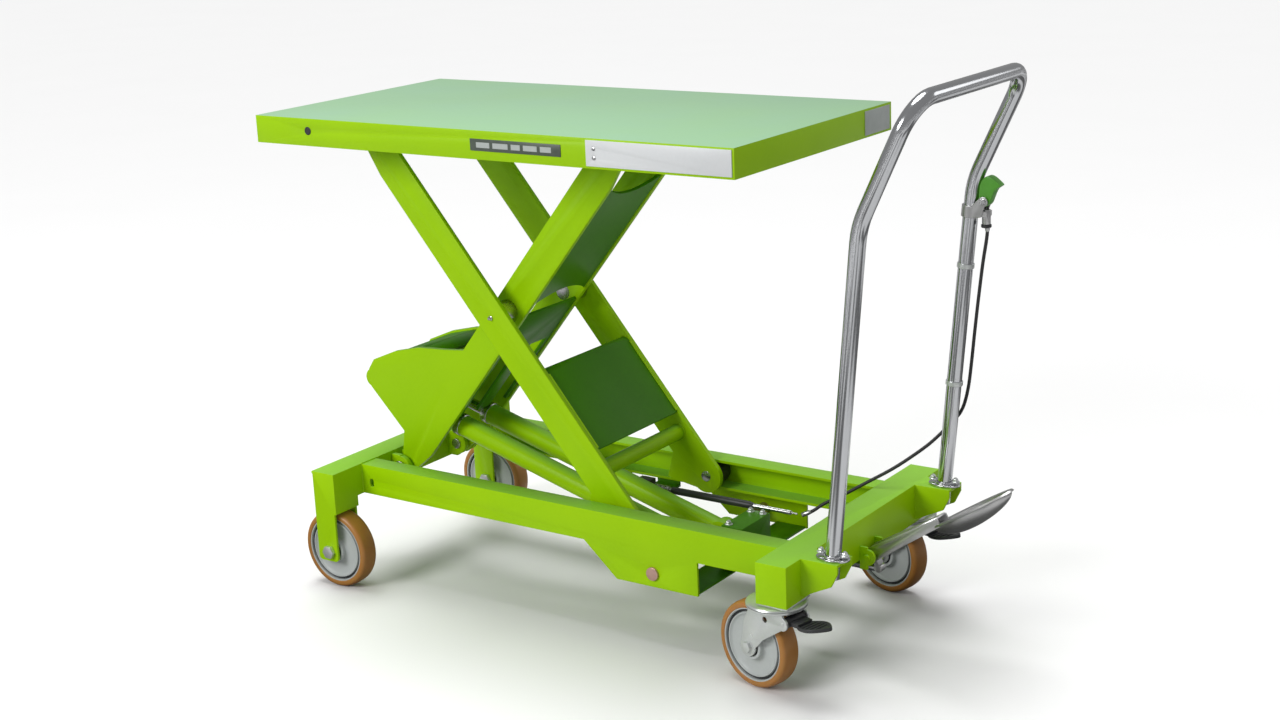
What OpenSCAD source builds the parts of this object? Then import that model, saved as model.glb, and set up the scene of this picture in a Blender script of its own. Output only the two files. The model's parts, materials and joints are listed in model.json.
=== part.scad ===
// Manual hydraulic scissor lift table on four wheels, drawn at the height it is parked at.
// X runs along the deck towards the push handle, Y across it, Z up from the floor.

/* [Deck] */
// Length of the deck
deck_len = 1016; // [900:1:1100]
// Width of the deck
deck_w = 512; // [480:1:520]
// Height of the deck's folded edge
apron_h = 49; // [46:1:60]
// Thickness of the deck sheet
deck_t = 4; // [3:1:5]
// Height of the deck's top, as drawn
deck_z = 896; // [600:1:980]
// Distance from the deck's rear edge to the fixed pivots
pivot_inset = 145; // [140:1:150]

/* [Scissor arms] */
// Length of each arm between its end pivots
arm_len = 866; // [860:1:870]
// Width of an arm
arm_w = 64; // [56:1:70]
// Thickness of an arm
arm_t = 10; // [8:1:10]
// Outer face of the outer arms, from the centre line
outer_y = 136; // [134:1:138]
// Outer face of the inner arms, from the centre line
inner_y = 88; // [86:1:90]

/* [Base] */
// Top of the base rails
rail_top = 230; // [226:1:231]
// Height of the base rails
rail_h = 57; // [55:1:58]
// Outer face of the base rails, from the centre line
rail_y = 187; // [185:1:190]
// Bottom of the deep skirts under the rails
skirt_z = 112; // [105:1:115]
// Plate thickness of the base
plate_t = 5; // [4:1:5]

/* [Wheels] */
// Diameter of the wheels
wheel_d = 150; // [146:1:150]
// Width of the tread
tyre_w = 38; // [34:1:40]
// Thickness of the tyre on its rim
tyre_t = 12; // [10:1:15]
// Angle that both casters are turned to
caster_turn = -13; // [-15:1:15]

/* [Handle and pedal] */
// Diameter of the push handle's tube
tube_d = 26; // [22:1:28]
// Distance of each handle leg from the centre line
handle_y = 200; // [198:1:202]
// Slope of the pump pedal
pedal_slope = 32; // [28:1:34]

/* [Hidden] */
$fn = 64;

// Place of the deck's centre along X, so that the whole table stands centred on the origin
deck_x = -172.7;
deck_back = deck_x - deck_len / 2;
deck_front = deck_x + deck_len / 2;
deck_under = deck_z - deck_t;

// Scissor: fixed pivots at the rear, rollers at the front
pivot_x = deck_back + pivot_inset;
low_z = rail_top - rail_h / 2;
pivot_drop = 25;
high_z = deck_z - pivot_drop;
lift = asin((high_z - low_z) / arm_len);
roller_x = pivot_x + arm_len * cos(lift);
mid_x = (pivot_x + roller_x) / 2;
mid_z = (low_z + high_z) / 2;
half = arm_len / 2;
pin_r = 10;
mid_pin_r = 15;
running_gap = 0.05;
end_r = 18;
taper = 95;
skin = 2;
outer_in = outer_y - arm_t;
inner_in = inner_y - arm_t;

// Rollers
low_roller_r = 22.6;
high_roller_r = 20;
rail_flange = 40;
low_roller_y = [150, 178];
high_roller_y = [91, 113];
track_y = 120;
track_t = 4;

// Ram cross shaft on the inner arms' gussets, and the anchor of the two cylinders
shaft_reach = 125;
shaft_angle = 101;
shaft_x = pivot_x + shaft_reach * cos(shaft_angle);
shaft_z = low_z + shaft_reach * sin(shaft_angle);
anchor_x = deck_x + 277;
anchor_z = 136.5;
cylinder_y = 42;
cylinder_len = norm([shaft_x - anchor_x, shaft_z - anchor_z]);
cylinder_angle = atan2(shaft_z - anchor_z, anchor_x - shaft_x);
barrel_len = 560;
barrel_r = 20;
ram_r = 11;
anchor_r = 12;
ram_shaft_r = 11;
eye_gap = 8.5;

// Rear beam and the fixed wheels
rear_face = pivot_x - 23;
rear_back = rear_face - 55;
rear_top = 231;
beam_end = 265;
leg_in = 203;
rear_axle_x = deck_x - 410;
wheel_r = wheel_d / 2;
rear_wheel_y = 234;
axle_r = 8;

// Handle-end beam and its wings
front_back = deck_x + 535;
front_face = deck_x + 592;
front_top = 237;
front_end = 272;
post_in = 195;
post_z = 166;
wing_len = 66;
wing_w = 50;

// Casters
swivel_x = deck_x + 550;
swivel_y = 232;
trail = 42;
fork_in = 23;
fork_t = 4;
crown_z = 152.5;
race_z = 157.5;
king_r = 9;
caster_axle_r = 6;
brake_x = 36;
brake_z = 136;

// Push handle: foot, low bend and top corner of one leg, seen from the side
tube_r = tube_d / 2;
tube_t = 2;
foot_x = deck_x + 637;
foot_z = front_top;
bend = [deck_x + 690, 780];
top = [deck_x + 782, 972];
lean_low = atan2(bend.x - foot_x, bend.y - foot_z);
lean_high = atan2(top.x - bend.x, top.y - bend.y);
leg_low = norm([bend.x - foot_x, bend.y - foot_z]);
leg_high = norm(top - bend);
bend_r = 150;
corner_r = 55;
foot_sink = 34;

// Pump pedal and plunger
hinge_x = deck_x + 606;
hinge_z = 173;
pedal_len = 150;
pad_start = 118;
pad_len = 168;
pad_w = 62;
nose_reach = 27;
nose_angle = -71;
nose_r = 7;
plunger_z = hinge_z + nose_reach * sin(nose_angle);
plunger_end = hinge_x + nose_reach * cos(nose_angle) - nose_r - 0.5;
plunger_r = 8;
pump_x = deck_x + 320;
valve_x = deck_x + 70;
valve_z = 165;
rod_r = 4;

// Release lever on the far handle leg
lever_x = deck_x + 712;
lever_z = 748;
clamp_z = 730;
lever_pin_r = 4;

// Route of the release cable, relative to the deck's centre along X
cable_r = 3;
cable_end = [420.5, 76, 183];
cable_points = [
    [716, 200, 714], [713, 202, 685], [704, 207, 640], [694, 213, 580], [686, 216, 520], [679, 218, 460],
    [672, 219, 410], [659, 221, 370], [636, 218, 340], [614, 196, 313], [590, 172, 291],
    [560, 150, 268], [525, 128, 246], [490, 108, 224], [458, 92, 206], [438, 81, 191], cable_end
];

// ---- shared shapes ----

module mirrored() {
    children();
    mirror([0, 1, 0]) children();
}

module far_side() {
    mirror([0, 1, 0]) children();
}

// Plate made of flat outlines in the XZ plane, between two distances from the centre line, on the near side
module side_plate_at(y_in, y_out) {
    for (i = [0 : $children - 1])
        translate([0, -y_in, 0]) rotate([90, 0, 0]) linear_extrude(y_out - y_in) children(i);
}

// Round hole through everything near the centre line or beyond it, along Y
module cross_hole(x, z, r) {
    cross_cylinder(x, z, -300, 300, r);
}

module cross_cylinder(x, z, y_from, y_to, r) {
    translate([x, y_to, z]) rotate([90, 0, 0]) cylinder(h = y_to - y_from, r = r);
}

// Goes to an arm's lower end, with local X along the arm
module along_inner() {
    translate([pivot_x, 0, low_z]) rotate([0, -lift, 0]) children();
}

module along_outer() {
    translate([roller_x, 0, low_z]) rotate([0, lift, 0]) mirror([1, 0, 0]) children();
}

// ---- deck ----

module deck() {
    wall = 4;
    color([0.62, 0.80, 0.66]) difference() {
        translate([deck_back, -deck_w / 2, deck_z - apron_h]) cube([deck_len, deck_w, apron_h]);
        translate([deck_back + wall, -deck_w / 2 + wall, deck_z - apron_h - 1])
            cube([deck_len - 2 * wall, deck_w - 2 * wall, apron_h + 1 - deck_t]);
        translate([deck_x - 381, 0, deck_z - 22]) rotate([90, 0, 0]) cylinder(h = deck_w, r = 5);
    }
}

module deck_tracks() {
    track_back = deck_x - 30;
    track_front = deck_front - 5;
    track_low = high_z - high_roller_r - 1;
    color([0.45, 0.75, 0.08]) mirrored() {
        translate([track_back, track_y, track_low - track_t])
            cube([track_front - track_back, track_t - 1, deck_under - track_low + track_t]);
        translate([track_back, high_roller_y[0] + 2, track_low - track_t])
            cube([track_front - track_back, track_y - high_roller_y[0] - 2, track_t]);
    }
}

module pivot_lug(y_in, y_out) {
    difference() {
        side_plate_at(y_in, y_out) {
            translate([pivot_x, high_z]) circle(r = 19);
            translate([pivot_x - 30, high_z + 6]) square([60, deck_under - high_z - 6]);
        }
        cross_hole(pivot_x, high_z, pin_r);
    }
}

module deck_pivot_lugs() {
    color([0.45, 0.75, 0.08]) mirrored() {
        pivot_lug(112, 120);
        pivot_lug(142, 150);
    }
}

module deck_pivot_pins() {
    color([0.75, 0.76, 0.78]) mirrored() {
        cross_cylinder(pivot_x, high_z, 108, 154, pin_r);
        cross_cylinder(pivot_x, high_z, 154, 158, pin_r + 4);
    }
}

module side_plate() {
    plate_z = [deck_z - 45, deck_z - 3];
    color([0.93, 0.93, 0.93]) difference() {
        translate([deck_x + 230, -deck_w / 2 - 2, plate_z[0]]) cube([274, 2, plate_z[1] - plate_z[0]]);
        for (dz = [14, 28]) translate([deck_x + 246, 0, plate_z[0] + dz])
            rotate([90, 0, 0]) cylinder(h = deck_w, r = 2.5);
    }
}

module blank_labels() {
    color([0.25, 0.25, 0.25])
        translate([deck_x - 9, -deck_w / 2 - 1.2, deck_z - 34]) cube([188, 1.2, 20]);
    color([0.6, 0.62, 0.62])
        translate([deck_front, 160, deck_z - 45]) cube([1.2, 88, 41]);
}

// ---- outer arms: top at the rear pivots, foot on the rail rollers; the centre pins' bores are blind ----

module outer_arm() {
    taper_x = arm_len - taper;
    color([0.62, 0.83, 0.04]) along_outer() difference() {
        side_plate_at(outer_in, outer_y) {
            polygon([
                [0, arm_w / 2], [taper_x, arm_w / 2], [arm_len, end_r], [arm_len, -end_r],
                [taper_x, -arm_w / 2], [74, -arm_w / 2], [44, -74], [24, -58], [-10, -arm_w / 2 + 4]
            ]);
            circle(r = arm_w / 2);
            translate([arm_len, 0]) circle(r = end_r);
        }
        cross_hole(0, 0, pin_r);
        cross_cylinder(half, 0, -outer_y + skin, 0, mid_pin_r + running_gap);
        cross_hole(arm_len, 0, pin_r + running_gap);
    }
}

module outer_arm_near() {
    outer_arm();
}

module outer_arm_far() {
    far_side() outer_arm();
}

module outer_cross_plate() {
    plate_from = 128;
    plate_to = half - 142;
    lip_r = 14;
    color([0.16, 0.42, 0.03]) along_outer() union() {
        translate([plate_from, -outer_in, arm_w / 2 - 8]) cube([plate_to - plate_from, 2 * outer_in, 6]);
        translate([plate_to, -outer_in, arm_w / 2 - 2 - lip_r]) intersection() {
            rotate([-90, 0, 0]) difference() {
                cylinder(h = 2 * outer_in, r = lip_r);
                translate([0, 0, -1]) cylinder(h = 2 * outer_in + 2, r = lip_r - 6);
            }
            cube([lip_r, 2 * outer_in, lip_r]);
        }
    }
}

module outer_cross_tube() {
    color([0.30, 0.60, 0.05]) along_outer() difference() {
        cross_cylinder(98, 4, -outer_in, outer_in, 15);
        cross_cylinder(98, 4, -outer_in - 1, outer_in + 1, 11);
    }
}

module lower_roller_stubs() {
    color([0.72, 0.73, 0.75]) mirrored() {
        cross_cylinder(roller_x, low_z, outer_in, low_roller_y[1] + 1, pin_r);
        cross_cylinder(roller_x, low_z, outer_y, outer_y + 12, pin_r + 4);
    }
}

module roller(x, z, span, r) {
    color([0.10, 0.10, 0.11]) difference() {
        cross_cylinder(x, z, span[0], span[1], r);
        cross_cylinder(x, z, span[0] - 1, span[1] + 1, pin_r + running_gap);
    }
}

module lower_roller_near() {
    far_side() roller(roller_x, low_z, low_roller_y, low_roller_r);
}

module lower_roller_far() {
    roller(roller_x, low_z, low_roller_y, low_roller_r);
}

// ---- inner arms: foot on the rear pivots, top on the deck rollers ----

// Gusset outline at the foot, along and across the arm
gusset = [
    [15, 19], [55, 43], [68, 152], [93, 176], [118, 178], [170, 150], [220, 112], [262, 66], [296, arm_w / 2]
];

module inner_arm() {
    taper_x = arm_len - taper;
    color([0.62, 0.83, 0.04]) along_inner() difference() {
        side_plate_at(inner_in, inner_y) {
            polygon(concat(gusset, [
                [taper_x, arm_w / 2], [arm_len, end_r], [arm_len, -end_r], [taper_x, -arm_w / 2],
                [64, -arm_w / 2], [2, -20]
            ]));
            circle(r = 20);
            translate([86, 158]) circle(r = 18);
            translate([arm_len, 0]) circle(r = end_r);
        }
        cross_hole(0, 0, pin_r + running_gap);
        cross_hole(half, 0, mid_pin_r);
        cross_hole(arm_len, 0, pin_r);
    }
}

module inner_arm_near() {
    inner_arm();
}

module inner_arm_far() {
    far_side() inner_arm();
}

// Plate across the underside of the inner arms, given where it starts and ends along them
module under_plate(from, to) {
    translate([from, -inner_in, -arm_w / 2 + 2]) cube([to - from, 2 * inner_in, 6]);
}

// Upper plate, with a round bite out of each end
module inner_upper_plate() {
    bite_r = 140;
    bite_depth = 26;
    ends = [half + 40, arm_len - 98];
    color([0.20, 0.50, 0.03]) along_inner() difference() {
        under_plate(ends[0], ends[1]);
        for (x = [ends[0] + bite_depth - bite_r, ends[1] - bite_depth + bite_r])
            translate([x, 0, -arm_w / 2]) cylinder(h = 10, r = bite_r);
    }
}

// Lower plate, with two slots that the cylinders pass through as the table comes down
module inner_lower_plate() {
    ends = [166, half + 14];
    slot_end = 342;
    color([0.16, 0.42, 0.03]) along_inner() difference() {
        under_plate(ends[0], ends[1]);
        for (side = [-1, 1]) translate([ends[0] - 1, side * cylinder_y - barrel_r - 4, -arm_w / 2])
            cube([slot_end - ends[0], 2 * barrel_r + 8, 10]);
    }
}

module gusset_web() {
    web_t = 5;
    color([0.22, 0.55, 0.10]) along_inner() for (i = [4 : 6]) let (a = gusset[i], b = gusset[i + 1])
        translate([a.x, 0, a.y]) rotate([0, atan2(a.y - b.y, b.x - a.x), 0])
            translate([0, -inner_in, -web_t - 4]) cube([norm(b - a), 2 * inner_in, web_t]);
}

module upper_roller_stubs() {
    color([0.72, 0.73, 0.75]) mirrored()
        cross_cylinder(roller_x, high_z, inner_in, high_roller_y[1] + 1, pin_r);
}

module upper_roller_near() {
    far_side() roller(roller_x, high_z, high_roller_y, high_roller_r);
}

module upper_roller_far() {
    roller(roller_x, high_z, high_roller_y, high_roller_r);
}

module ram_cross_shaft() {
    color([0.72, 0.73, 0.75]) cross_cylinder(shaft_x, shaft_z, -inner_in, inner_in, ram_shaft_r);
}

module centre_pins() {
    color([0.72, 0.73, 0.75]) mirrored() {
        cross_cylinder(mid_x, mid_z, inner_in, outer_y - skin - 0.5, mid_pin_r);
        difference() {
            cross_cylinder(mid_x, mid_z, inner_y, outer_in - 0.5, mid_pin_r + 8);
            cross_cylinder(mid_x, mid_z, inner_y - 1, outer_in, mid_pin_r);
        }
    }
}

// ---- base ----

module base_pivot_pins() {
    color([0.72, 0.73, 0.75]) mirrored() {
        cross_cylinder(pivot_x, low_z, 60, 106, pin_r);
        cross_cylinder(pivot_x, low_z, 106, 110, pin_r + 4);
    }
}

module base_lug(y_in, y_out) {
    difference() {
        side_plate_at(y_in, y_out) {
            translate([pivot_x, low_z]) circle(r = 22);
            translate([rear_face, low_z - 26]) square([23, 50]);
        }
        cross_hole(pivot_x, low_z, pin_r);
    }
}

module base_pivot_lugs() {
    color([0.62, 0.83, 0.04]) mirrored() {
        base_lug(64, 74);
        base_lug(93, 103);
    }
}

module leg_plate(y_in, y_out, foot) {
    leg_back = rear_back + 2;
    leg_w = rear_face - plate_t - leg_back;
    difference() {
        side_plate_at(y_in, y_out) {
            translate([leg_back, foot + 8]) square([leg_w, rear_top - plate_t - foot - 8]);
            translate([leg_back + 8, foot]) square([leg_w - 16, 9]);
            translate([leg_back + 8, foot + 8]) circle(r = 8);
            translate([leg_back + leg_w - 8, foot + 8]) circle(r = 8);
        }
        cross_hole(rear_axle_x, wheel_r, axle_r);
    }
}

module rear_beam() {
    color([0.45, 0.75, 0.10]) {
        translate([rear_back, -beam_end, rear_top - plate_t]) cube([rear_face - rear_back, 2 * beam_end, plate_t]);
        translate([rear_face - plate_t, -beam_end, 172]) cube([plate_t, 2 * beam_end, rear_top - plate_t - 172]);
        mirrored() {
            translate([rear_face - plate_t, leg_in, 152]) cube([plate_t, beam_end - leg_in, 21]);
            leg_plate(beam_end - plate_t, beam_end, 56);
            leg_plate(leg_in, leg_in + plate_t, 56);
        }
    }
}

module rear_axles() {
    color([0.78, 0.78, 0.78]) mirrored() {
        cross_cylinder(rear_axle_x, wheel_r, leg_in - 8, beam_end + 3, axle_r);
        translate([rear_axle_x, beam_end + 8, wheel_r]) rotate([90, 0, 0]) cylinder(h = 8, r = 13, $fn = 6);
        translate([rear_axle_x, leg_in, wheel_r]) rotate([90, 0, 0]) cylinder(h = 8, r = 13, $fn = 6);
    }
}

// Wheel parts about their own centre, axle along Y
module wheel_rim(bore, hub_w) {
    rim_r = wheel_r - tyre_t;
    color([0.72, 0.74, 0.73]) rotate([90, 0, 0]) rotate_extrude() union() {
        translate([rim_r - 8, -tyre_w / 2 + 2]) square([8, tyre_w - 4]);
        translate([bore, -5]) square([rim_r - bore - 4, 10]);
        translate([bore, -hub_w / 2]) square([12, hub_w]);
    }
}

module wheel_tyre() {
    shoulder = 9;
    rim_r = wheel_r - tyre_t;
    color([0.72, 0.45, 0.17]) rotate([90, 0, 0]) rotate_extrude() union() {
        translate([rim_r, -tyre_w / 2]) square([tyre_t - shoulder, tyre_w]);
        translate([rim_r, -tyre_w / 2 + shoulder]) square([tyre_t, tyre_w - 2 * shoulder]);
        for (y = [-1, 1]) intersection() {
            translate([wheel_r - shoulder, y * (tyre_w / 2 - shoulder)]) circle(r = shoulder);
            translate([rim_r, -tyre_w / 2]) square([tyre_t, tyre_w]);
        }
    }
}

module rear_rim_near() {
    translate([rear_axle_x, -rear_wheel_y, wheel_r]) wheel_rim(axle_r + running_gap, 48);
}

module rear_rim_far() {
    translate([rear_axle_x, rear_wheel_y, wheel_r]) wheel_rim(axle_r + running_gap, 48);
}

module rear_tyre_near() {
    translate([rear_axle_x, -rear_wheel_y, wheel_r]) wheel_tyre();
}

module rear_tyre_far() {
    translate([rear_axle_x, rear_wheel_y, wheel_r]) wheel_tyre();
}

module rail() {
    rail_low = rail_top - rail_h;
    color([0.55, 0.80, 0.05]) {
        difference() {
            side_plate_at(rail_y - plate_t, rail_y) {
                translate([rear_face, rail_low]) square([front_back - rear_face, rail_h]);
                polygon([
                    [deck_x + 131, rail_low + 1], [deck_x + 200, skirt_z],
                    [deck_x + 368, skirt_z], [deck_x + 368, rail_low + 1]
                ]);
            }
            for (z = [rail_low + 20, rail_low + 26]) cross_hole(deck_x - 363, z, 5);
            translate([deck_x - 368, -300, rail_low + 20]) cube([10, 600, 6]);
            cross_hole(anchor_x, anchor_z, anchor_r);
        }
        for (z = [rail_low, rail_top - plate_t])
            translate([rear_face, -rail_y, z]) cube([front_back - rear_face, rail_flange, plate_t]);
    }
}

module rail_near() {
    rail();
}

module rail_far() {
    far_side() rail();
}

module cylinder_anchor_shaft() {
    color([0.80, 0.62, 0.55]) cross_cylinder(anchor_x, anchor_z, -rail_y - 4, rail_y + 4, anchor_r);
}

// Floor plate under the pump, and the valve's bracket reaching in from the far rail
module base_tray() {
    color([0.20, 0.45, 0.03]) {
        translate([deck_x + 305, plate_t - rail_y, skirt_z]) cube([60, 2 * (rail_y - plate_t), 4]);
        translate([valve_x - 10, cable_end.y - 13, valve_z - plate_t]) cube([50, 92, plate_t]);
        translate([valve_x - 10, cable_end.y + 74, valve_z]) cube([50, plate_t, rail_top - rail_h - valve_z]);
    }
}

module wing() {
    wing_mid = handle_y;
    color([0.38, 0.68, 0.04]) {
        difference() {
            translate([front_face, wing_mid - wing_w / 2, front_top - plate_t]) cube([wing_len, wing_w, plate_t]);
            translate([foot_x, wing_mid, front_top - plate_t - 1]) cylinder(h = plate_t + 2, r = tube_r + 0.5);
        }
        for (y = [wing_mid - wing_w / 2, wing_mid + wing_w / 2 - plate_t])
            far_side() side_plate_at(y, y + plate_t) polygon([
                [front_face, 172], [front_face + 54, 198], [front_face + wing_len, 222],
                [front_face + wing_len, front_top - plate_t], [front_face, front_top - plate_t]
            ]);
    }
}

module front_beam() {
    depth = front_face - front_back;
    color([0.35, 0.62, 0.15]) {
        translate([front_back, -front_end, front_top - plate_t]) cube([depth, 2 * front_end, plate_t]);
        translate([front_face - plate_t, -front_end, post_z]) cube([plate_t, 2 * front_end, front_top - plate_t - post_z]);
        translate([front_back, -post_in, 190]) cube([plate_t, 2 * post_in, front_top - plate_t - 190]);
        mirrored() {
            translate([front_back, post_in, post_z]) cube([plate_t, front_end - post_in, front_top - plate_t - post_z]);
            for (y = [post_in, front_end - plate_t])
                translate([front_back + plate_t, y, post_z + plate_t])
                    cube([depth - 2 * plate_t, plate_t, front_top - 2 * plate_t - post_z]);
            translate([front_back + plate_t, post_in, post_z]) cube([depth - 2 * plate_t, front_end - post_in, plate_t]);
        }
    }
    mirrored() wing();
}

// ---- push handle ----

module straight_tube(len) {
    rotate_extrude() translate([tube_r - tube_t, 0]) square([tube_t, len]);
}

module bent_tube(turn, r) {
    rotate_extrude(angle = turn) translate([r, 0]) difference() {
        circle(r = tube_r);
        circle(r = tube_r - tube_t);
    }
}

module handle_leg() {
    turn = lean_high - lean_low;
    setback = bend_r * tan(turn / 2);
    translate([foot_x, handle_y, foot_z]) rotate([0, lean_low, 0]) {
        translate([0, 0, -foot_sink]) straight_tube(leg_low - setback + foot_sink);
        translate([bend_r, 0, leg_low - setback]) rotate([90, 0, 0]) rotate([0, 0, 180 - turn])
            bent_tube(turn, bend_r);
    }
    translate([bend.x, handle_y, bend.y]) rotate([0, lean_high, 0]) {
        translate([0, 0, setback]) straight_tube(leg_high - corner_r - setback);
        translate([0, -corner_r, leg_high - corner_r]) rotate([90, 0, 90]) bent_tube(90, corner_r);
    }
}

module push_handle() {
    color([0.80, 0.81, 0.83]) {
        mirrored() handle_leg();
        translate([top.x, handle_y - corner_r, top.y]) rotate([90, 0, 0])
            straight_tube(2 * (handle_y - corner_r));
    }
}

module handle_flanges() {
    flange_t = 4;
    color([0.78, 0.79, 0.81]) mirrored() {
        translate([foot_x, handle_y, foot_z]) difference() {
            union() {
                scale([1, 0.68, 1]) cylinder(h = flange_t, r = 29);
                cylinder(h = flange_t + 4, r = tube_r + 3);
            }
            rotate([0, lean_low, 0]) translate([0, 0, -10]) cylinder(h = 30, r = tube_r);
        }
    }
}

// ---- casters, about the swivel axis: local X points away from the wheel ----

module at_caster(side) {
    translate([swivel_x, side * swivel_y, 0]) rotate([0, 0, caster_turn]) children();
}

module caster_plates() {
    color([0.70, 0.71, 0.70]) for (side = [-1, 1]) translate([swivel_x, side * swivel_y, 0]) {
        translate([-14, -36, post_z - 4]) cube([55, 72, 4]);
        translate([0, 0, race_z]) cylinder(h = post_z - 4 - race_z, r = 48);
        translate([0, 0, crown_z]) cylinder(h = race_z - crown_z, r = king_r);
    }
}

module caster_fork() {
    cheek_y = fork_in + fork_t;
    color([0.78, 0.80, 0.79]) {
        difference() {
            translate([0, 0, crown_z]) cylinder(h = race_z - crown_z - 0.5, r = 48);
            translate([0, 0, crown_z - 1]) cylinder(h = 10, r = king_r + running_gap);
        }
        difference() {
            mirrored() side_plate_at(fork_in, cheek_y) {
                polygon([
                    [-trail - 15, wheel_r], [-trail - 8, 118], [-34, crown_z + 2],
                    [36, crown_z + 2], [42, 130], [-8, 96], [-trail + 15, wheel_r]
                ]);
                translate([-trail, wheel_r]) circle(r = 16);
                translate([brake_x, brake_z]) circle(r = 11);
            }
            cross_hole(-trail, wheel_r, caster_axle_r);
            cross_hole(brake_x, brake_z, 4);
            cross_hole(-2, 134, 5);
        }
        translate([-trail, 0, wheel_r]) rotate([90, 0, 0]) cylinder(h = 2 * cheek_y + 6, r = caster_axle_r, center = true);
        for (y = [-cheek_y - 6, cheek_y]) translate([-trail, y + 6, wheel_r]) rotate([90, 0, 0])
            cylinder(h = 6, r = 10, $fn = 6);
        translate([brake_x, 0, brake_z]) rotate([90, 0, 0]) cylinder(h = 2 * cheek_y + 2, r = 4, center = true);
    }
}

module caster_fork_near() {
    at_caster(-1) caster_fork();
}

module caster_fork_far() {
    at_caster(1) caster_fork();
}

module caster_rim_near() {
    at_caster(-1) translate([-trail, 0, wheel_r]) wheel_rim(caster_axle_r + running_gap, 44);
}

module caster_rim_far() {
    at_caster(1) translate([-trail, 0, wheel_r]) wheel_rim(caster_axle_r + running_gap, 44);
}

module caster_tyre_near() {
    at_caster(-1) translate([-trail, 0, wheel_r]) wheel_tyre();
}

module caster_tyre_far() {
    at_caster(1) translate([-trail, 0, wheel_r]) wheel_tyre();
}

module brake_pedal() {
    half_w = fork_in - 1;
    color([0.15, 0.15, 0.16]) difference() {
        union() {
            translate([brake_x, 0, brake_z]) rotate([90, 0, 0]) cylinder(h = 2 * half_w, r = 9, center = true);
            translate([brake_x, -half_w, brake_z - 3]) cube([34, 2 * half_w, 6]);
            translate([brake_x + 30, 0, brake_z]) rotate([0, -8, 0]) translate([18, 0, 0]) scale([1.25, 0.95, 1])
                cylinder(h = 6, r = 26, center = true);
        }
        translate([brake_x, 0, brake_z]) rotate([90, 0, 0])
            cylinder(h = 3 * half_w, r = 4 + running_gap, center = true);
    }
}

module brake_pedal_near() {
    at_caster(-1) brake_pedal();
}

module brake_pedal_far() {
    at_caster(1) brake_pedal();
}

// ---- pump pedal ----

module pedal_bracket() {
    color([0.25, 0.50, 0.05]) mirrored() difference() {
        side_plate_at(24, 29) {
            translate([hinge_x, hinge_z]) circle(r = 14);
            translate([front_face, hinge_z - 22]) square([hinge_x - front_face, 40]);
        }
        cross_hole(hinge_x, hinge_z, 6);
    }
    color([0.78, 0.79, 0.81]) cross_cylinder(hinge_x, hinge_z, -34, 34, 6);
}

module at_hinge() {
    translate([hinge_x, 0, hinge_z]) rotate([0, -pedal_slope, 0]) children();
}

module pedal_lever() {
    cheek_in = 14;
    cheek_out = 18;
    nose_turn = nose_angle - pedal_slope;
    color([0.80, 0.81, 0.83]) at_hinge() difference() {
        union() {
            mirrored() side_plate_at(cheek_in, cheek_out) {
                circle(r = 13.5);
                polygon([[0, -13], [0, 13], [pedal_len, 9], [pedal_len, -5], [60, -9]]);
            }
            translate([10, -cheek_in, 8]) cube([pedal_len - 10, 2 * cheek_in, 3]);
            rotate([90, 0, 0]) cylinder(h = 2 * cheek_in, r = 12, center = true);
            rotate([0, -nose_turn, 0]) translate([0, -8, -4]) cube([nose_reach, 16, 8]);
            rotate([0, -nose_turn, 0]) translate([nose_reach, 0, 0]) rotate([90, 0, 0])
                cylinder(h = 16, r = nose_r, center = true);
        }
        rotate([90, 0, 0]) cylinder(h = 50, r = 6 + running_gap, center = true);
    }
}

module oval(l, w, h) {
    hull() for (x = [w / 2, l - w / 2]) translate([x, 0, 0]) cylinder(h = h, r = w / 2, $fn = 32);
}

module pedal_pad() {
    color([0.80, 0.81, 0.83]) at_hinge() translate([pad_start, 0, -9]) difference() {
        oval(pad_len, pad_w, 14);
        translate([4, 0, 4]) oval(pad_len - 8, pad_w - 8, 11);
        translate([-1, -19, 3]) cube([34, 38, 14]);
    }
}

// ---- lifting cylinders, pump and release ----

module along_cylinder() {
    translate([anchor_x, 0, anchor_z]) rotate([0, cylinder_angle, 0]) mirror([1, 0, 0]) children();
}

module cylinder_barrels() {
    color([0.58, 0.82, 0.05]) along_cylinder() mirrored() translate([0, cylinder_y, 0]) difference() {
        union() {
            rotate([90, 0, 0]) cylinder(h = 30, r = 24, center = true);
            rotate([0, 90, 0]) cylinder(h = barrel_len, r = barrel_r);
        }
        rotate([90, 0, 0]) cylinder(h = 40, r = anchor_r + running_gap, center = true);
        translate([60, 0, 0]) rotate([0, 90, 0]) cylinder(h = barrel_len, r = ram_r + running_gap);
    }
}

module cylinder_rams() {
    color([0.80, 0.81, 0.83]) along_cylinder() mirrored() translate([0, cylinder_y, 0]) difference() {
        union() {
            translate([210, 0, 0]) rotate([0, 90, 0]) cylinder(h = cylinder_len - 210 - ram_shaft_r - eye_gap - 1, r = ram_r);
            translate([cylinder_len, 0, 0]) rotate([90, 0, 0])
                cylinder(h = 26, r = ram_shaft_r + eye_gap + 8, center = true);
        }
        translate([cylinder_len, 0, 0]) rotate([90, 0, 0])
            cylinder(h = 40, r = ram_shaft_r + eye_gap, center = true);
    }
}

module pump_block() {
    color([0.12, 0.12, 0.13]) difference() {
        translate([pump_x, -34, skirt_z + 4]) cube([44, 94, 66]);
        translate([pump_x - 1, 0, plunger_z]) rotate([0, 90, 0]) cylinder(h = 60, r = plunger_r + running_gap);
    }
}

// Lowering valve that the release rod opens, on the bracket from the far rail
module release_valve() {
    color([0.12, 0.12, 0.13]) difference() {
        translate([valve_x, cable_end.y - 11, valve_z]) cube([30, 22, 32]);
        translate([0, cable_end.y, cable_end.z]) rotate([0, 90, 0])
            cylinder(h = 600, r = rod_r + running_gap, center = true);
    }
}

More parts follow.
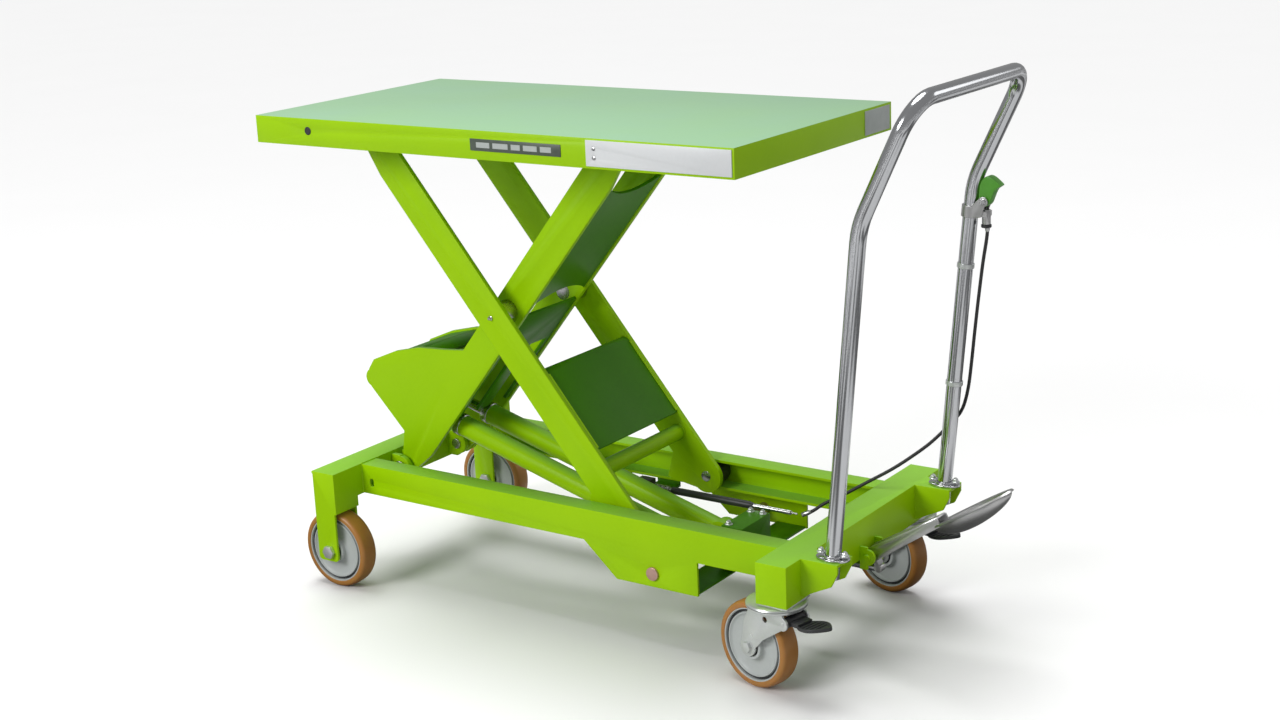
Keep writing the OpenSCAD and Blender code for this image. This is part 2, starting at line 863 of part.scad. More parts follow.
module pump_reservoir() {
    color([0.12, 0.12, 0.13]) translate([pump_x + 44, -64, 148]) difference() {
        union() {
            rotate([0, 90, 0]) cylinder(h = 90, r = 28);
            translate([-30, -6, -20]) cube([31, 34, 40]);
        }
        translate([-31, 30, -21]) cube([32, 8, 42]);
    }
}

module pump_plunger() {
    color([0.80, 0.81, 0.83]) translate([pump_x + 22, 0, plunger_z]) rotate([0, 90, 0])
        cylinder(h = plunger_end - pump_x - 22, r = plunger_r);
}

module release_lever() {
    color([0.22, 0.58, 0.12]) translate([lever_x, handle_y, lever_z]) rotate([90, 0, 0])
        translate([0, 0, -9]) difference() {
            union() {
                cylinder(h = 18, r = 10);
                linear_extrude(18) polygon([
                    [-9, 2], [-7, 17], [-3, 32], [2, 42], [8, 45], [20, 37], [28, 29], [27, 26], [20, 20], [15, 8], [9, -4]
                ]);
            }
            translate([0, 0, -1]) cylinder(h = 20, r = lever_pin_r + running_gap);
        }
}

module release_clamp() {
    clamp_x = foot_x + (clamp_z - foot_z) * tan(lean_low);
    cheek_len = lever_x - clamp_x + 11;
    color([0.35, 0.36, 0.38]) difference() {
        union() {
            for (y = [handle_y - 14, handle_y + 10]) translate([clamp_x, y, clamp_z - 9]) cube([cheek_len, 4, 34]);
            translate([lever_x - 3, handle_y - 11, clamp_z - 16]) cube([14, 22, 8]);
            translate([clamp_x, handle_y, clamp_z]) rotate([0, lean_low, 0]) cylinder(h = 18, r = tube_r + 3, center = true);
        }
        translate([clamp_x, handle_y, clamp_z]) rotate([0, lean_low, 0]) cylinder(h = 80, r = tube_r + 0.1, center = true);
    }
    color([0.72, 0.73, 0.75]) cross_cylinder(lever_x, lever_z, handle_y - 16, handle_y + 16, lever_pin_r);
}

// Rod with the thin end of the cable's inner wire crimped into it
module release_rod() {
    rod_end = deck_x + 398;
    color([0.62, 0.58, 0.56]) translate([0, cable_end.y, cable_end.z]) rotate([0, 90, 0]) {
        translate([0, 0, valve_x - 12]) cylinder(h = rod_end - valve_x + 12, r = rod_r);
        translate([0, 0, rod_end]) cylinder(h = 13, r = 1.5);
    }
}

// Round tube swept along a list of points
module swept(points, r, sides) {
    function unit(v) = v / norm(v);
    n = len(points);
    tangent = [for (i = [0 : n - 1]) unit(points[min(i + 1, n - 1)] - points[max(i - 1, 0)])];
    across = [for (t = tangent) unit(cross(t, [0.3, 1, 0.1]))];
    ring = [for (i = [0 : n - 1], a = [0 : sides - 1])
        points[i] + r * (cos(360 * a / sides) * across[i] + sin(360 * a / sides) * cross(tangent[i], across[i]))];
    walls = [for (i = [0 : n - 2], a = [0 : sides - 1]) let (b = (a + 1) % sides)
        [i * sides + a, (i + 1) * sides + a, (i + 1) * sides + b, i * sides + b]];
    caps = [[for (a = [0 : sides - 1]) a], [for (a = [sides - 1 : -1 : 0]) (n - 1) * sides + a]];
    polyhedron(points = ring, faces = concat(walls, caps));
}

module release_cable() {
    color([0.12, 0.12, 0.13]) swept([for (p = cable_points) p + [deck_x, 0, 0]], cable_r, 10);
}

deck();
deck_tracks();
deck_pivot_lugs();
deck_pivot_pins();
side_plate();
blank_labels();
outer_arm_near();
outer_arm_far();
outer_cross_plate();
outer_cross_tube();
lower_roller_stubs();
lower_roller_near();
lower_roller_far();
inner_arm_near();
inner_arm_far();
inner_upper_plate();
inner_lower_plate();
gusset_web();
upper_roller_stubs();
upper_roller_near();
upper_roller_far();
ram_cross_shaft();
centre_pins();
base_pivot_pins();
base_pivot_lugs();
rear_beam();
rear_axles();
rear_rim_near();
rear_rim_far();
rear_tyre_near();
rear_tyre_far();
rail_near();
rail_far();
cylinder_anchor_shaft();
base_tray();
front_beam();
push_handle();
handle_flanges();
caster_plates();
caster_fork_near();
caster_fork_far();
caster_rim_near();
caster_rim_far();
caster_tyre_near();
caster_tyre_far();
brake_pedal_near();
brake_pedal_far();
pedal_bracket();
pedal_lever();
pedal_pad();
cylinder_barrels();
cylinder_rams();
pump_block();
pump_reservoir();
pump_plunger();
release_valve();
release_lever();
release_clamp();
release_rod();
release_cable();
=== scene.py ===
# %% [markdown]
# # A scissor lift table
# A lift table is a steel sheet on two pairs of crossed arms. A foot pump pushes two cylinders, and they raise it.
# Its working parts are already drawn at their real size in CAD, so this lesson starts from them. It gives each
# steel piece rolled edges, welds and fasteners, makes the bent and pressed pieces anew, and mixes every finish.

# %% Load the working parts
import json
import math

import bpy
from mathutils import Matrix, Quaternion, Vector

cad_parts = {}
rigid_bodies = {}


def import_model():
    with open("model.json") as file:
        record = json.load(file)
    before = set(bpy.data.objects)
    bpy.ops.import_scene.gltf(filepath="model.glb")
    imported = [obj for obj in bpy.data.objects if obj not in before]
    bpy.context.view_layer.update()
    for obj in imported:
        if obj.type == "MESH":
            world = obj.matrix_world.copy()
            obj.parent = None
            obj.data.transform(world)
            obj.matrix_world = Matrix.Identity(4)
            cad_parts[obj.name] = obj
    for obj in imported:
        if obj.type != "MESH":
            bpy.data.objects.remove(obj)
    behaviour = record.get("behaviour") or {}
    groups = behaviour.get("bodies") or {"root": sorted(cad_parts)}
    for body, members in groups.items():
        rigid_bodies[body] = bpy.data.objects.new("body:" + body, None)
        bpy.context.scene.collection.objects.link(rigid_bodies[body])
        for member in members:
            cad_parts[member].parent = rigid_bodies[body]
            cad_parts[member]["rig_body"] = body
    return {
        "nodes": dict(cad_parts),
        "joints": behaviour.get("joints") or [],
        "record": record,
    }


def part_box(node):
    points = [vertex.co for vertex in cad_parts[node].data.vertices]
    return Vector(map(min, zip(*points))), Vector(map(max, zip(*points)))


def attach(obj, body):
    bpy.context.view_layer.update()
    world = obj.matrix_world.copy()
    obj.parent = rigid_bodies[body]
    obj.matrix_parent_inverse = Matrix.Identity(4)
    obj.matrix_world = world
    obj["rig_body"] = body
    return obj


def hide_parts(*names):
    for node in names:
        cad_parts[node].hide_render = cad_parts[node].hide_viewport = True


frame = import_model()
bpy.ops.object.select_all(action="DESELECT")
scene = bpy.context.scene
scene.view_settings.view_transform = "Standard"
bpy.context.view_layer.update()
MM = 0.001

# %% [markdown]
# ## The camera
# The table is seen from its handle end, a little above the deck, with a lens slightly longer than normal. The
# camera is aimed by a heading and a dip, then rolled a little, because its horizon isn't quite level.

# %% Place the camera
def aim(place, heading, dip, roll):
    """The turn of a camera at that place: heading from +Y towards +X, dip below the horizon, all in degrees."""
    h, p = math.radians(heading), math.radians(dip)
    forward = Vector((math.sin(h) * math.cos(p), math.cos(h) * math.cos(p), -math.sin(p)))
    level = forward.to_track_quat("-Z", "Y")
    return Matrix.Translation(place) @ (level @ Quaternion((0, 0, 1), math.radians(roll))).to_matrix().to_4x4()


CAMERA_PLACE, HEADING, DIP, ROLL, LENS_MM = (1.8723, -2.7024, 1.3751), -35.225, 15.59, -2.441, 54.09
camera = bpy.data.objects.new("camera", bpy.data.cameras.new("camera"))
scene.collection.objects.link(camera)
camera.matrix_world = aim(CAMERA_PLACE, HEADING, DIP, ROLL)
camera.data.lens = LENS_MM
scene.camera = camera
print("lens", camera.data.lens, "mm, from", [round(v, 2) for v in camera.location])

# %% [markdown]
# ## Light and floor
# The near side is bright and the handle end falls into shade, so the key light stands in front and to the left.
# A wide soft light overhead lies on the deck as a pale sheen. The world fills what is left. The floor looks
# nearly white, but it throws back less light than that, in broad pools, so that the shaded sides of the steel
# stay deep and the chrome carries dark and light streaks.

# %% Set up the studio
def panel_light(name, place, target, size, power):
    light = bpy.data.lights.new(name, "AREA")
    light.shape = "DISK"
    light.size = size
    light.energy = power
    lamp = bpy.data.objects.new(name, light)
    scene.collection.objects.link(lamp)
    lamp.location = place
    lamp.rotation_euler = (Vector(target) - Vector(place)).to_track_quat("-Z", "Y").to_euler()


panel_light("key", (-1.6, -4.2, 2.6), (-0.2, 0, 0.5), 2.2, 128)
sun = bpy.data.lights.new("ceiling", "SUN")
sun.energy, sun.angle = 2.4, math.radians(40)
ceiling = bpy.data.objects.new("ceiling", sun)
ceiling.rotation_euler = (math.radians(-8), math.radians(-10), 0)
scene.collection.objects.link(ceiling)
panel_light("rim", (2.4, 3.0, 2.0), (0, 0, 0.6), 1.5, 8)

SKY_LIGHT, SKY_SEEN = 0.31, 1.0
world = bpy.data.worlds.new("studio")
world.use_nodes = True
sky = world.node_tree.nodes["Background"]
sky.inputs["Color"].default_value = (1.0, 1.0, 1.0, 1)
sky_rays = world.node_tree.nodes.new("ShaderNodeLightPath")
sky_strength = world.node_tree.nodes.new("ShaderNodeMapRange")
sky_strength.inputs["To Min"].default_value = SKY_LIGHT
sky_strength.inputs["To Max"].default_value = SKY_SEEN
world.node_tree.links.new(sky_rays.outputs["Is Camera Ray"], sky_strength.inputs["Value"])
world.node_tree.links.new(sky_strength.outputs["Result"], sky.inputs["Strength"])
scene.world = world

bpy.ops.mesh.primitive_plane_add(size=160, location=(0, 0, 0))
floor = bpy.context.object
floor.name = "floor"

# %% [markdown]
# ## Effects that the finishes share
# Powder coat has the fine dimples of an orange's skin. Plated steel has faint streaks and a cloudy tone. A sheet
# that lies flat catches the sky and a little dust, so its upper faces are painted paler than its edges: a painted
# sky reflection, broken by dust. Each effect is a node group with its own sockets, so that every finish can use
# it at its own strength.

# %% Node group helpers
def new_group(name, inputs, outputs):
    """An empty shader group with (name, type, default) inputs and (name, type) outputs."""
    group = bpy.data.node_groups.new(name, "ShaderNodeTree")
    for label, kind, default in inputs:
        socket = group.interface.new_socket(label, in_out="INPUT", socket_type=kind)
        socket.default_value = default
    for label, kind in outputs:
        group.interface.new_socket(label, in_out="OUTPUT", socket_type=kind)
    return group, group.nodes.new("NodeGroupInput"), group.nodes.new("NodeGroupOutput")


def math_node(group, operation, a, b=None):
    """A Math node on sockets or numbers, and its output."""
    node = group.nodes.new("ShaderNodeMath")
    node.operation = operation
    for socket, value in zip(node.inputs, (a, b)):
        if value is None:
            continue
        if isinstance(value, (int, float)):
            socket.default_value = value
        else:
            group.links.new(value, socket)
    return node.outputs[0]


def mix_colour(group, factor, a, b):
    node = group.nodes.new("ShaderNodeMix")
    node.data_type = "RGBA"
    for name, value in (("Factor", factor), ("A", a), ("B", b)):
        socket = next(s for s in node.inputs if s.name == name and s.enabled)
        if isinstance(value, (int, float, tuple)):
            socket.default_value = value
        else:
            group.links.new(value, socket)
    return next(s for s in node.outputs if s.enabled)


FLOAT, COLOUR = "NodeSocketFloat", "NodeSocketColor"


def noise(group, scale, detail, stretch=(1, 1, 1)):
    """Noise on the piece's own coordinates, stretched along each axis, in cycles per metre."""
    place = group.nodes.new("ShaderNodeTexCoord")
    mapping = group.nodes.new("ShaderNodeMapping")
    mapping.inputs["Scale"].default_value = stretch
    texture = group.nodes.new("ShaderNodeTexNoise")
    texture.inputs["Detail"].default_value = detail
    group.links.new(place.outputs["Object"], mapping.inputs["Vector"])
    group.links.new(mapping.outputs["Vector"], texture.inputs["Vector"])
    if isinstance(scale, (int, float)):
        texture.inputs["Scale"].default_value = scale
    else:
        group.links.new(scale, texture.inputs["Scale"])
    return texture.outputs["Fac"]


# %% Tone variation: two colours clouded together, with a roughness that follows them
def make_tone_group():
    group, given, result = new_group(
        "clouded tone",
        [("Base", COLOUR, (0.5, 0.5, 0.5, 1)), ("Cloud", COLOUR, (0.4, 0.4, 0.4, 1)), ("Scale", FLOAT, 9.0),
         ("Roughness", FLOAT, 0.35), ("Spread", FLOAT, 0.1)],
        [("Color", COLOUR), ("Roughness", FLOAT)],
    )
    cloud = noise(group, given.outputs["Scale"], 4)
    fine = noise(group, 160.0, 3)
    soft = math_node(group, "MULTIPLY", cloud, math_node(group, "ADD", fine, 0.5))
    group.links.new(mix_colour(group, soft, given.outputs["Base"], given.outputs["Cloud"]), result.inputs["Color"])
    swing = math_node(group, "MULTIPLY", math_node(group, "SUBTRACT", soft, 0.5), given.outputs["Spread"])
    group.links.new(math_node(group, "ADD", swing, given.outputs["Roughness"]), result.inputs["Roughness"])
    return group


tone_group = make_tone_group()

# %% Painted sky sheen: a mask that is 1 on what faces up, broken by fine dust
def make_sheen_and_dust_group():
    group, given, result = new_group(
        "painted sky sheen and dust", [("Amount", FLOAT, 0.8)], [("Mask", FLOAT)]
    )
    place = group.nodes.new("ShaderNodeTexCoord")
    split = group.nodes.new("ShaderNodeSeparateXYZ")
    group.links.new(place.outputs["Normal"], split.inputs[0])
    facing = group.nodes.new("ShaderNodeMapRange")
    facing.inputs["From Min"].default_value = 0.72
    facing.inputs["From Max"].default_value = 0.97
    group.links.new(split.outputs["Z"], facing.inputs["Value"])
    dust = math_node(group, "ADD", math_node(group, "MULTIPLY", noise(group, 5.0, 5), 0.25), 0.86)
    broken = math_node(group, "MULTIPLY", facing.outputs["Result"], dust)
    group.links.new(math_node(group, "MULTIPLY", broken, given.outputs["Amount"]), result.inputs["Mask"])
    return group


sheen_and_dust_group = make_sheen_and_dust_group()

# %% Surface height: dimples of a given size over slow waves
def make_grain_group():
    group, given, result = new_group(
        "surface grain", [("Dimples per metre", FLOAT, 900.0), ("Waves", FLOAT, 0.3)], [("Height", FLOAT)]
    )
    dimple = noise(group, given.outputs["Dimples per metre"], 2)
    wave = math_node(group, "MULTIPLY", noise(group, 14.0, 2), given.outputs["Waves"])
    group.links.new(math_node(group, "ADD", dimple, wave), result.inputs["Height"])
    return group


grain_group = make_grain_group()

# %% Rubbed spots: a mask of fine scuffs that run one way
def make_scuff_group():
    group, given, result = new_group(
        "fine scuffs", [("Coverage", FLOAT, 0.3), ("Strength", FLOAT, 0.5)], [("Mask", FLOAT)]
    )
    streak = noise(group, 60.0, 6, stretch=(0.25, 1.0, 3.0))
    edge = math_node(group, "SUBTRACT", 0.86, math_node(group, "MULTIPLY", given.outputs["Coverage"], 0.4))
    over = math_node(group, "MAXIMUM", math_node(group, "SUBTRACT", streak, edge), 0.0)
    steep = math_node(group, "MINIMUM", math_node(group, "MULTIPLY", over, 14.0), 1.0)
    group.links.new(math_node(group, "MULTIPLY", steep, given.outputs["Strength"]), result.inputs["Mask"])
    return group


scuff_group = make_scuff_group()
print("shared groups:", [g.name for g in (tone_group, sheen_and_dust_group, grain_group, scuff_group)])

# %% [markdown]
# ## The finishes
# Each finish is one Principled shader. Its colour and roughness come from the clouded tone, its normal from the
# surface grain, and what is the same all over is set on the shader's own sockets.

# %% A finish from the shared groups
def use(material, group, **values):
    node = material.node_tree.nodes.new("ShaderNodeGroup")
    node.node_tree = group
    for name, value in values.items():
        node.inputs[name.replace("_", " ")].default_value = value
    return node


def finish(name, base, cloud, roughness, spread=0.1, scale=9.0, grain=900.0, bump=0.05,
           upper=None, scuffs=None, **plain):
    """A material: colours, roughness, dimples per metre and depth in mm, and the shader's plain sockets."""
    material = bpy.data.materials.new(name)
    material.use_nodes = True
    tree = material.node_tree
    shader = tree.nodes["Principled BSDF"]
    tone = use(material, tone_group, Base=(*base, 1), Cloud=(*cloud, 1), Scale=scale,
               Roughness=roughness, Spread=spread)
    colour = tone.outputs["Color"]
    # Painted sky reflection: the sheen mask mixes upper faces towards a paler colour
    if upper:
        mask = use(material, sheen_and_dust_group, Amount=upper[1])
        colour = mix_colour(tree, mask.outputs["Mask"], colour, (*upper[0], 1))
    if scuffs:
        rubbed = use(material, scuff_group, Coverage=scuffs[1], Strength=scuffs[2])
        colour = mix_colour(tree, rubbed.outputs["Mask"], colour, (*scuffs[0], 1))
    tree.links.new(colour, shader.inputs["Base Color"])
    tree.links.new(tone.outputs["Roughness"], shader.inputs["Roughness"])
    surface = use(material, grain_group, **{"Dimples per metre": grain})
    relief = tree.nodes.new("ShaderNodeBump")
    relief.inputs["Distance"].default_value = bump * MM
    relief.inputs["Strength"].default_value = 0.6
    tree.links.new(surface.outputs["Height"], relief.inputs["Height"])
    tree.links.new(relief.outputs["Normal"], shader.inputs["Normal"])
    for socket, value in plain.items():
        shader.inputs[socket.replace("_", " ")].default_value = value
    return material


# %% Paints
# Both paints mix a painted sky sheen onto their upper faces; the deck's pale grey-green is a painted reflection,
# and its lighter scuffs are wear
lime_paint = finish("lime_powder_coat", (0.385, 0.68, 0.0006), (0.33, 0.62, 0.0005), 0.38, grain=700, bump=0.10,
                    upper=((0.22, 0.55, 0.10), 0.5), Specular_IOR_Level=0.16)
deck_paint = finish("deck_powder_coat", (0.385, 0.68, 0.0008), (0.33, 0.62, 0.0006), 0.38, grain=600, bump=0.10,
                    upper=((0.33, 0.55, 0.36), 0.95), scuffs=((0.42, 0.60, 0.44), 0.25, 0.25),
                    Specular_IOR_Level=0.22)
# A darker copy of the lime powder coat: painted shade for the plates, webs, tray and pump block that lie in the
# table's shadow
shaded_lime_paint = finish("lime_coat_painted_shade", (0.075, 0.27, 0.001), (0.055, 0.22, 0.001), 0.40, grain=700, bump=0.10,
                    Specular_IOR_Level=0.18)
pump_paint = finish("black_pump_paint", (0.016, 0.016, 0.018), (0.030, 0.030, 0.032), 0.42, grain=500, bump=0.12)
rim_paint = finish("grey_cast_rim", (0.52, 0.55, 0.54), (0.44, 0.47, 0.46), 0.46, grain=420, bump=0.16)

# %% Metals
chrome = finish("chrome_plate", (0.62, 0.63, 0.65), (0.54, 0.55, 0.57), 0.14, spread=0.08, grain=300, bump=0.01,
                Metallic=1.0)
satin = finish("satin_chrome", (0.58, 0.58, 0.58), (0.46, 0.46, 0.46), 0.34, spread=0.16, scale=20, grain=420,
               bump=0.03, Metallic=1.0)
zinc = finish("zinc_plate", (0.74, 0.76, 0.75), (0.60, 0.63, 0.62), 0.30, spread=0.16, scale=26, grain=520,
              bump=0.03, Metallic=0.7)
pin_steel = finish("ground_steel", (0.60, 0.60, 0.61), (0.50, 0.50, 0.51), 0.26, scale=40, grain=800, bump=0.02,
                   Metallic=1.0)
warm_steel = finish("passivated_pin", (0.66, 0.42, 0.36), (0.58, 0.36, 0.30), 0.34, scale=40, grain=700, bump=0.03,
                    Metallic=0.85)

# %% Plastics and rubbers
tyre_tan = finish("tan_polyurethane", (0.45, 0.205, 0.045), (0.37, 0.155, 0.030), 0.36, grain=380, bump=0.05,
                  scuffs=((0.30, 0.13, 0.04), 0.5, 0.3), Subsurface_Weight=0.15, Subsurface_Scale=0.004)
nylon = finish("black_nylon", (0.020, 0.020, 0.022), (0.032, 0.032, 0.034), 0.38, grain=600, bump=0.04)
black_plastic = finish("black_moulding", (0.022, 0.023, 0.025), (0.040, 0.041, 0.044), 0.44, grain=1400, bump=0.08)
green_grip = finish("green_grip_plastic", (0.10, 0.38, 0.030), (0.07, 0.30, 0.022), 0.30, grain=900, bump=0.03)
cable_black = finish("cable_sheath", (0.020, 0.020, 0.022), (0.035, 0.035, 0.037), 0.50, grain=1600, bump=0.05)
white_plate = finish("white_side_plate", (0.78, 0.80, 0.81), (0.70, 0.72, 0.73), 0.30, grain=500, bump=0.03)
label_dark = finish("dark_label_foil", (0.055, 0.075, 0.055), (0.10, 0.12, 0.10), 0.36, scale=60, bump=0.02)
label_silver = finish("silver_label_foil", (0.50, 0.54, 0.52), (0.42, 0.46, 0.44), 0.32, scale=60, bump=0.02)

# %% The floor: what the camera sees, and what every other ray sees
floor_paint = finish("pale_floor", (0.90, 0.90, 0.90), (0.88, 0.88, 0.88), 0.85, scale=2, grain=60, bump=0.05)
floor_tree = floor_paint.node_tree
floor_rays = floor_tree.nodes.new("ShaderNodeLightPath")
floor_shader = floor_tree.nodes["Principled BSDF"]
pale = floor_shader.inputs["Base Color"].links[0].from_socket
pools = floor_tree.nodes.new("ShaderNodeMapRange")
for label, value in (("From Min", 0.44), ("From Max", 0.56), ("To Min", 0.10), ("To Max", 0.62)):
    pools.inputs[label].default_value = value
floor_tree.links.new(noise(floor_tree, 1.1, 0), pools.inputs["Value"])
unseen = floor_tree.nodes.new("ShaderNodeCombineColor")
for channel in unseen.inputs[:3]:
    floor_tree.links.new(pools.outputs["Result"], channel)
floor_tree.links.new(mix_colour(floor_tree, floor_rays.outputs["Is Camera Ray"], unseen.outputs[0], pale),
                     floor_shader.inputs["Base Color"])
floor.data.materials.append(floor_paint)
print(len(bpy.data.materials), "finishes")

# %% [markdown]
# ## Finishes for the CAD pieces
# Every CAD piece has one slot in the record, and each slot takes one finish. A piece that is made anew further
# on takes its finish there.

# %% Dress the CAD pieces
SLOT_FINISH = {
    "deck_paint": deck_paint, "green_paint": lime_paint, "zinc": zinc, "pin_steel": pin_steel, "chrome": chrome,
    "white_plate": white_plate, "grey_label": label_dark, "roller_black": nylon, "tyre_tan": tyre_tan,
    "rim_grey": rim_paint, "black_parts": black_plastic, "pump_black": pump_paint, "cable_black": cable_black,
    "lever_green": green_grip, "anchor_pin": warm_steel,
}
node_slot = {s["node"]: s["material_slot"] for s in frame["record"]["subparts"]}
for name, node in frame["nodes"].items():
    node.data.materials.clear()
    node.data.materials.append(SLOT_FINISH[node_slot[name]])
print("dressed", len(node_slot), "CAD pieces")

# %% [markdown]
# ## Tools for the pieces
# All pieces are modelled in metres at their real place, so a finished piece sits at the origin with its place in
# its mesh. A few small helpers do most of the handling: choose one object, smooth it, place a copy, join several,
# discard a pattern, and settle a piece on the body it moves with.

# %% Choose, smooth, copy and settle
slot_of = {coat.name: slot_name for slot_name, coat in SLOT_FINISH.items()}
# The darker lime copy is painted shade on the same paint, so it keeps the lime's slot
slot_of[shaded_lime_paint.name] = "green_paint"
slot_of[label_silver.name] = "grey_label"
slot_of[satin.name] = "chrome"
joint = {j["name"]: j for j in frame["joints"]}


def only(piece):
    """Chooses one object and nothing else."""
    bpy.ops.object.select_all(action="DESELECT")
    piece.select_set(True)
    bpy.context.view_layer.objects.active = piece


def smooth(piece, angle):
    only(piece)
    bpy.ops.object.shade_smooth_by_angle(angle=math.radians(angle))


def apply_modifier(piece, kind, **settings):
    """Adds a modifier with its settings and applies it."""
    only(piece)
    modifier = piece.modifiers.new(kind.lower(), kind)
    for name, value in settings.items():
        setattr(modifier, name, value)
    bpy.ops.object.modifier_apply(modifier=modifier.name)


def placed(piece, matrix):
    """A copy of a piece with its own mesh, moved there."""
    copy = bpy.data.objects.new(piece.name, piece.data.copy())
    scene.collection.objects.link(copy)
    copy.data.transform(matrix)
    return copy


def joined(pieces):
    """Several objects as one mesh."""
    only(pieces[0])
    for piece in pieces:
        piece.select_set(True)
    bpy.ops.object.join()
    return bpy.context.view_layer.objects.active


def discard(*patterns):
    """Removes the objects that were only there to be copied."""
    for pattern in patterns:
        bpy.data.objects.remove(pattern)


def settle(piece, name, body, material, replaced=()):
    """Names a piece, gives it a finish, and lets it ride on its body."""
    only(piece)
    bpy.ops.object.transform_apply(location=True, rotation=True, scale=True)
    piece.name = name
    piece.data.materials.clear()
    piece.data.materials.append(material)
    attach(piece, body)
    if replaced:
        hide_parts(*replaced)
    return piece


def body_of(node):
    return frame["nodes"][node]["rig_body"]


# %% [markdown]
# ## Rolled edges
# Sheet and plate are never knife-sharp: a shear rolls the edge over and the powder coat rounds it further. The
# light on those edges is most of what tells the eye it is steel. Each plate is a copy of its working part, with
# its doubles merged, its flat faces joined, and a narrow bevel along every sharp edge.

# %% A plate with rolled edges
def rolled_copy(node, radius_mm):
    piece = bpy.data.objects.new(node, frame["nodes"][node].data.copy())
    scene.collection.objects.link(piece)
    only(piece)
    bpy.ops.object.mode_set(mode="EDIT")
    bpy.ops.mesh.select_all(action="SELECT")
    bpy.ops.mesh.remove_doubles(threshold=0.00002)
    bpy.ops.mesh.dissolve_limited(angle_limit=math.radians(0.6))
    bpy.ops.object.mode_set(mode="OBJECT")
    apply_modifier(piece, "BEVEL", width=radius_mm * MM, segments=2, limit_method="ANGLE",
                   angle_limit=math.radians(30), loop_slide=False)
    smooth(piece, 40)
    return piece


# %% Roll the edges of all plate and bar
# Inner plates, webs, the tray and the pump block take the darker lime copy, which is painted shade
ROLLED = {
    "deck": (deck_paint, 2.2), "side_plate": (white_plate, 0.3),
    "deck_tracks": (lime_paint, 0.8), "deck_pivot_lugs": (lime_paint, 0.8),
    "outer_arm_near": (lime_paint, 1.2), "outer_arm_far": (lime_paint, 1.2),
    "inner_arm_near": (lime_paint, 1.2), "inner_arm_far": (lime_paint, 1.2),
    "outer_cross_plate": (shaded_lime_paint, 1.0), "outer_cross_tube": (lime_paint, 0.5),
    "inner_upper_plate": (shaded_lime_paint, 1.0), "inner_lower_plate": (shaded_lime_paint, 1.0),
    "gusset_web": (shaded_lime_paint, 0.8), "base_pivot_lugs": (lime_paint, 0.8),
    "rear_beam": (lime_paint, 1.3), "rail_near": (lime_paint, 1.1), "rail_far": (lime_paint, 1.1),
    "base_tray": (shaded_lime_paint, 0.8), "front_beam": (lime_paint, 1.3), "pedal_bracket": (lime_paint, 0.8),
    "cylinder_barrels": (lime_paint, 1.2), "cylinder_rams": (chrome, 0.8), "pump_block": (shaded_lime_paint, 1.6),
    "release_valve": (pump_paint, 1.0), "caster_plates": (zinc, 0.7), "rear_axles": (zinc, 0.6),
    "handle_flanges": (chrome, 0.9), "release_rod": (pin_steel, 0.5),
    "pedal_lever": (satin, 1.0), "centre_pins": (pin_steel, 0.6), "base_pivot_pins": (pin_steel, 0.6),
    "deck_pivot_pins": (pin_steel, 0.6), "ram_cross_shaft": (pin_steel, 0.5),
    "lower_roller_near": (nylon, 1.2), "lower_roller_far": (nylon, 1.2),
    "upper_roller_near": (nylon, 1.2), "upper_roller_far": (nylon, 1.2),
    "caster_fork_near": (zinc, 0.9), "caster_fork_far": (zinc, 0.9),
    "cylinder_anchor_shaft": (warm_steel, 0.8), "pump_plunger": (chrome, 0.6),
    "lower_roller_stubs": (pin_steel, 0.6), "upper_roller_stubs": (pin_steel, 0.6),
}
for node, (material, radius_mm) in ROLLED.items():
    settle(rolled_copy(node, radius_mm), node + "_rolled", body_of(node), material, [node])
print("rolled the edges of", len(ROLLED), "pieces")

# %% [markdown]
# ## Turned pieces
# Wheels, bearings, nuts and collars are turned on a lathe, so they are spun here from half of their section. The
# section is drawn as radius and height along the axle, in millimetres, and the spin closes on itself.

# %% A turned piece about Z
def turned(section_mm, steps):
    count = len(section_mm)
    mesh = bpy.data.meshes.new("turned")
    edges = [(i, (i + 1) % count) for i in range(count)]
    mesh.from_pydata([(r * MM, 0, h * MM) for r, h in section_mm], edges, [])
    piece = bpy.data.objects.new("turned", mesh)
    scene.collection.objects.link(piece)
    only(piece)
    bpy.ops.object.mode_set(mode="EDIT")
    bpy.ops.mesh.select_all(action="SELECT")
    bpy.ops.mesh.spin(steps=steps, angle=math.tau, center=(0, 0, 0), axis=(0, 0, 1))
    bpy.ops.mesh.select_all(action="SELECT")
    bpy.ops.mesh.remove_doubles(threshold=0.00001)
    bpy.ops.mesh.normals_make_consistent(inside=False)
    bpy.ops.object.mode_set(mode="OBJECT")
    smooth(piece, 32)
    return piece


def arc(centre, radius, start, end, steps):
    """Points of an arc in a section, from start to end degrees."""
    turns = [math.radians(start + (end - start) * i / steps) for i in range(steps + 1)]
    return [(centre[0] + radius * math.cos(a), centre[1] + radius * math.sin(a)) for a in turns]


# %% [markdown]
# ## The wheels
# Each wheel has a cast disc with a raised face, a deep groove inside its lip, and a tan polyurethane tyre cast
# on. A black ring on the groove's floor is painted shade, darkening the groove as its shadow does. The crown is
# slightly round and the shoulders are full. One wheel is turned and copied four times.

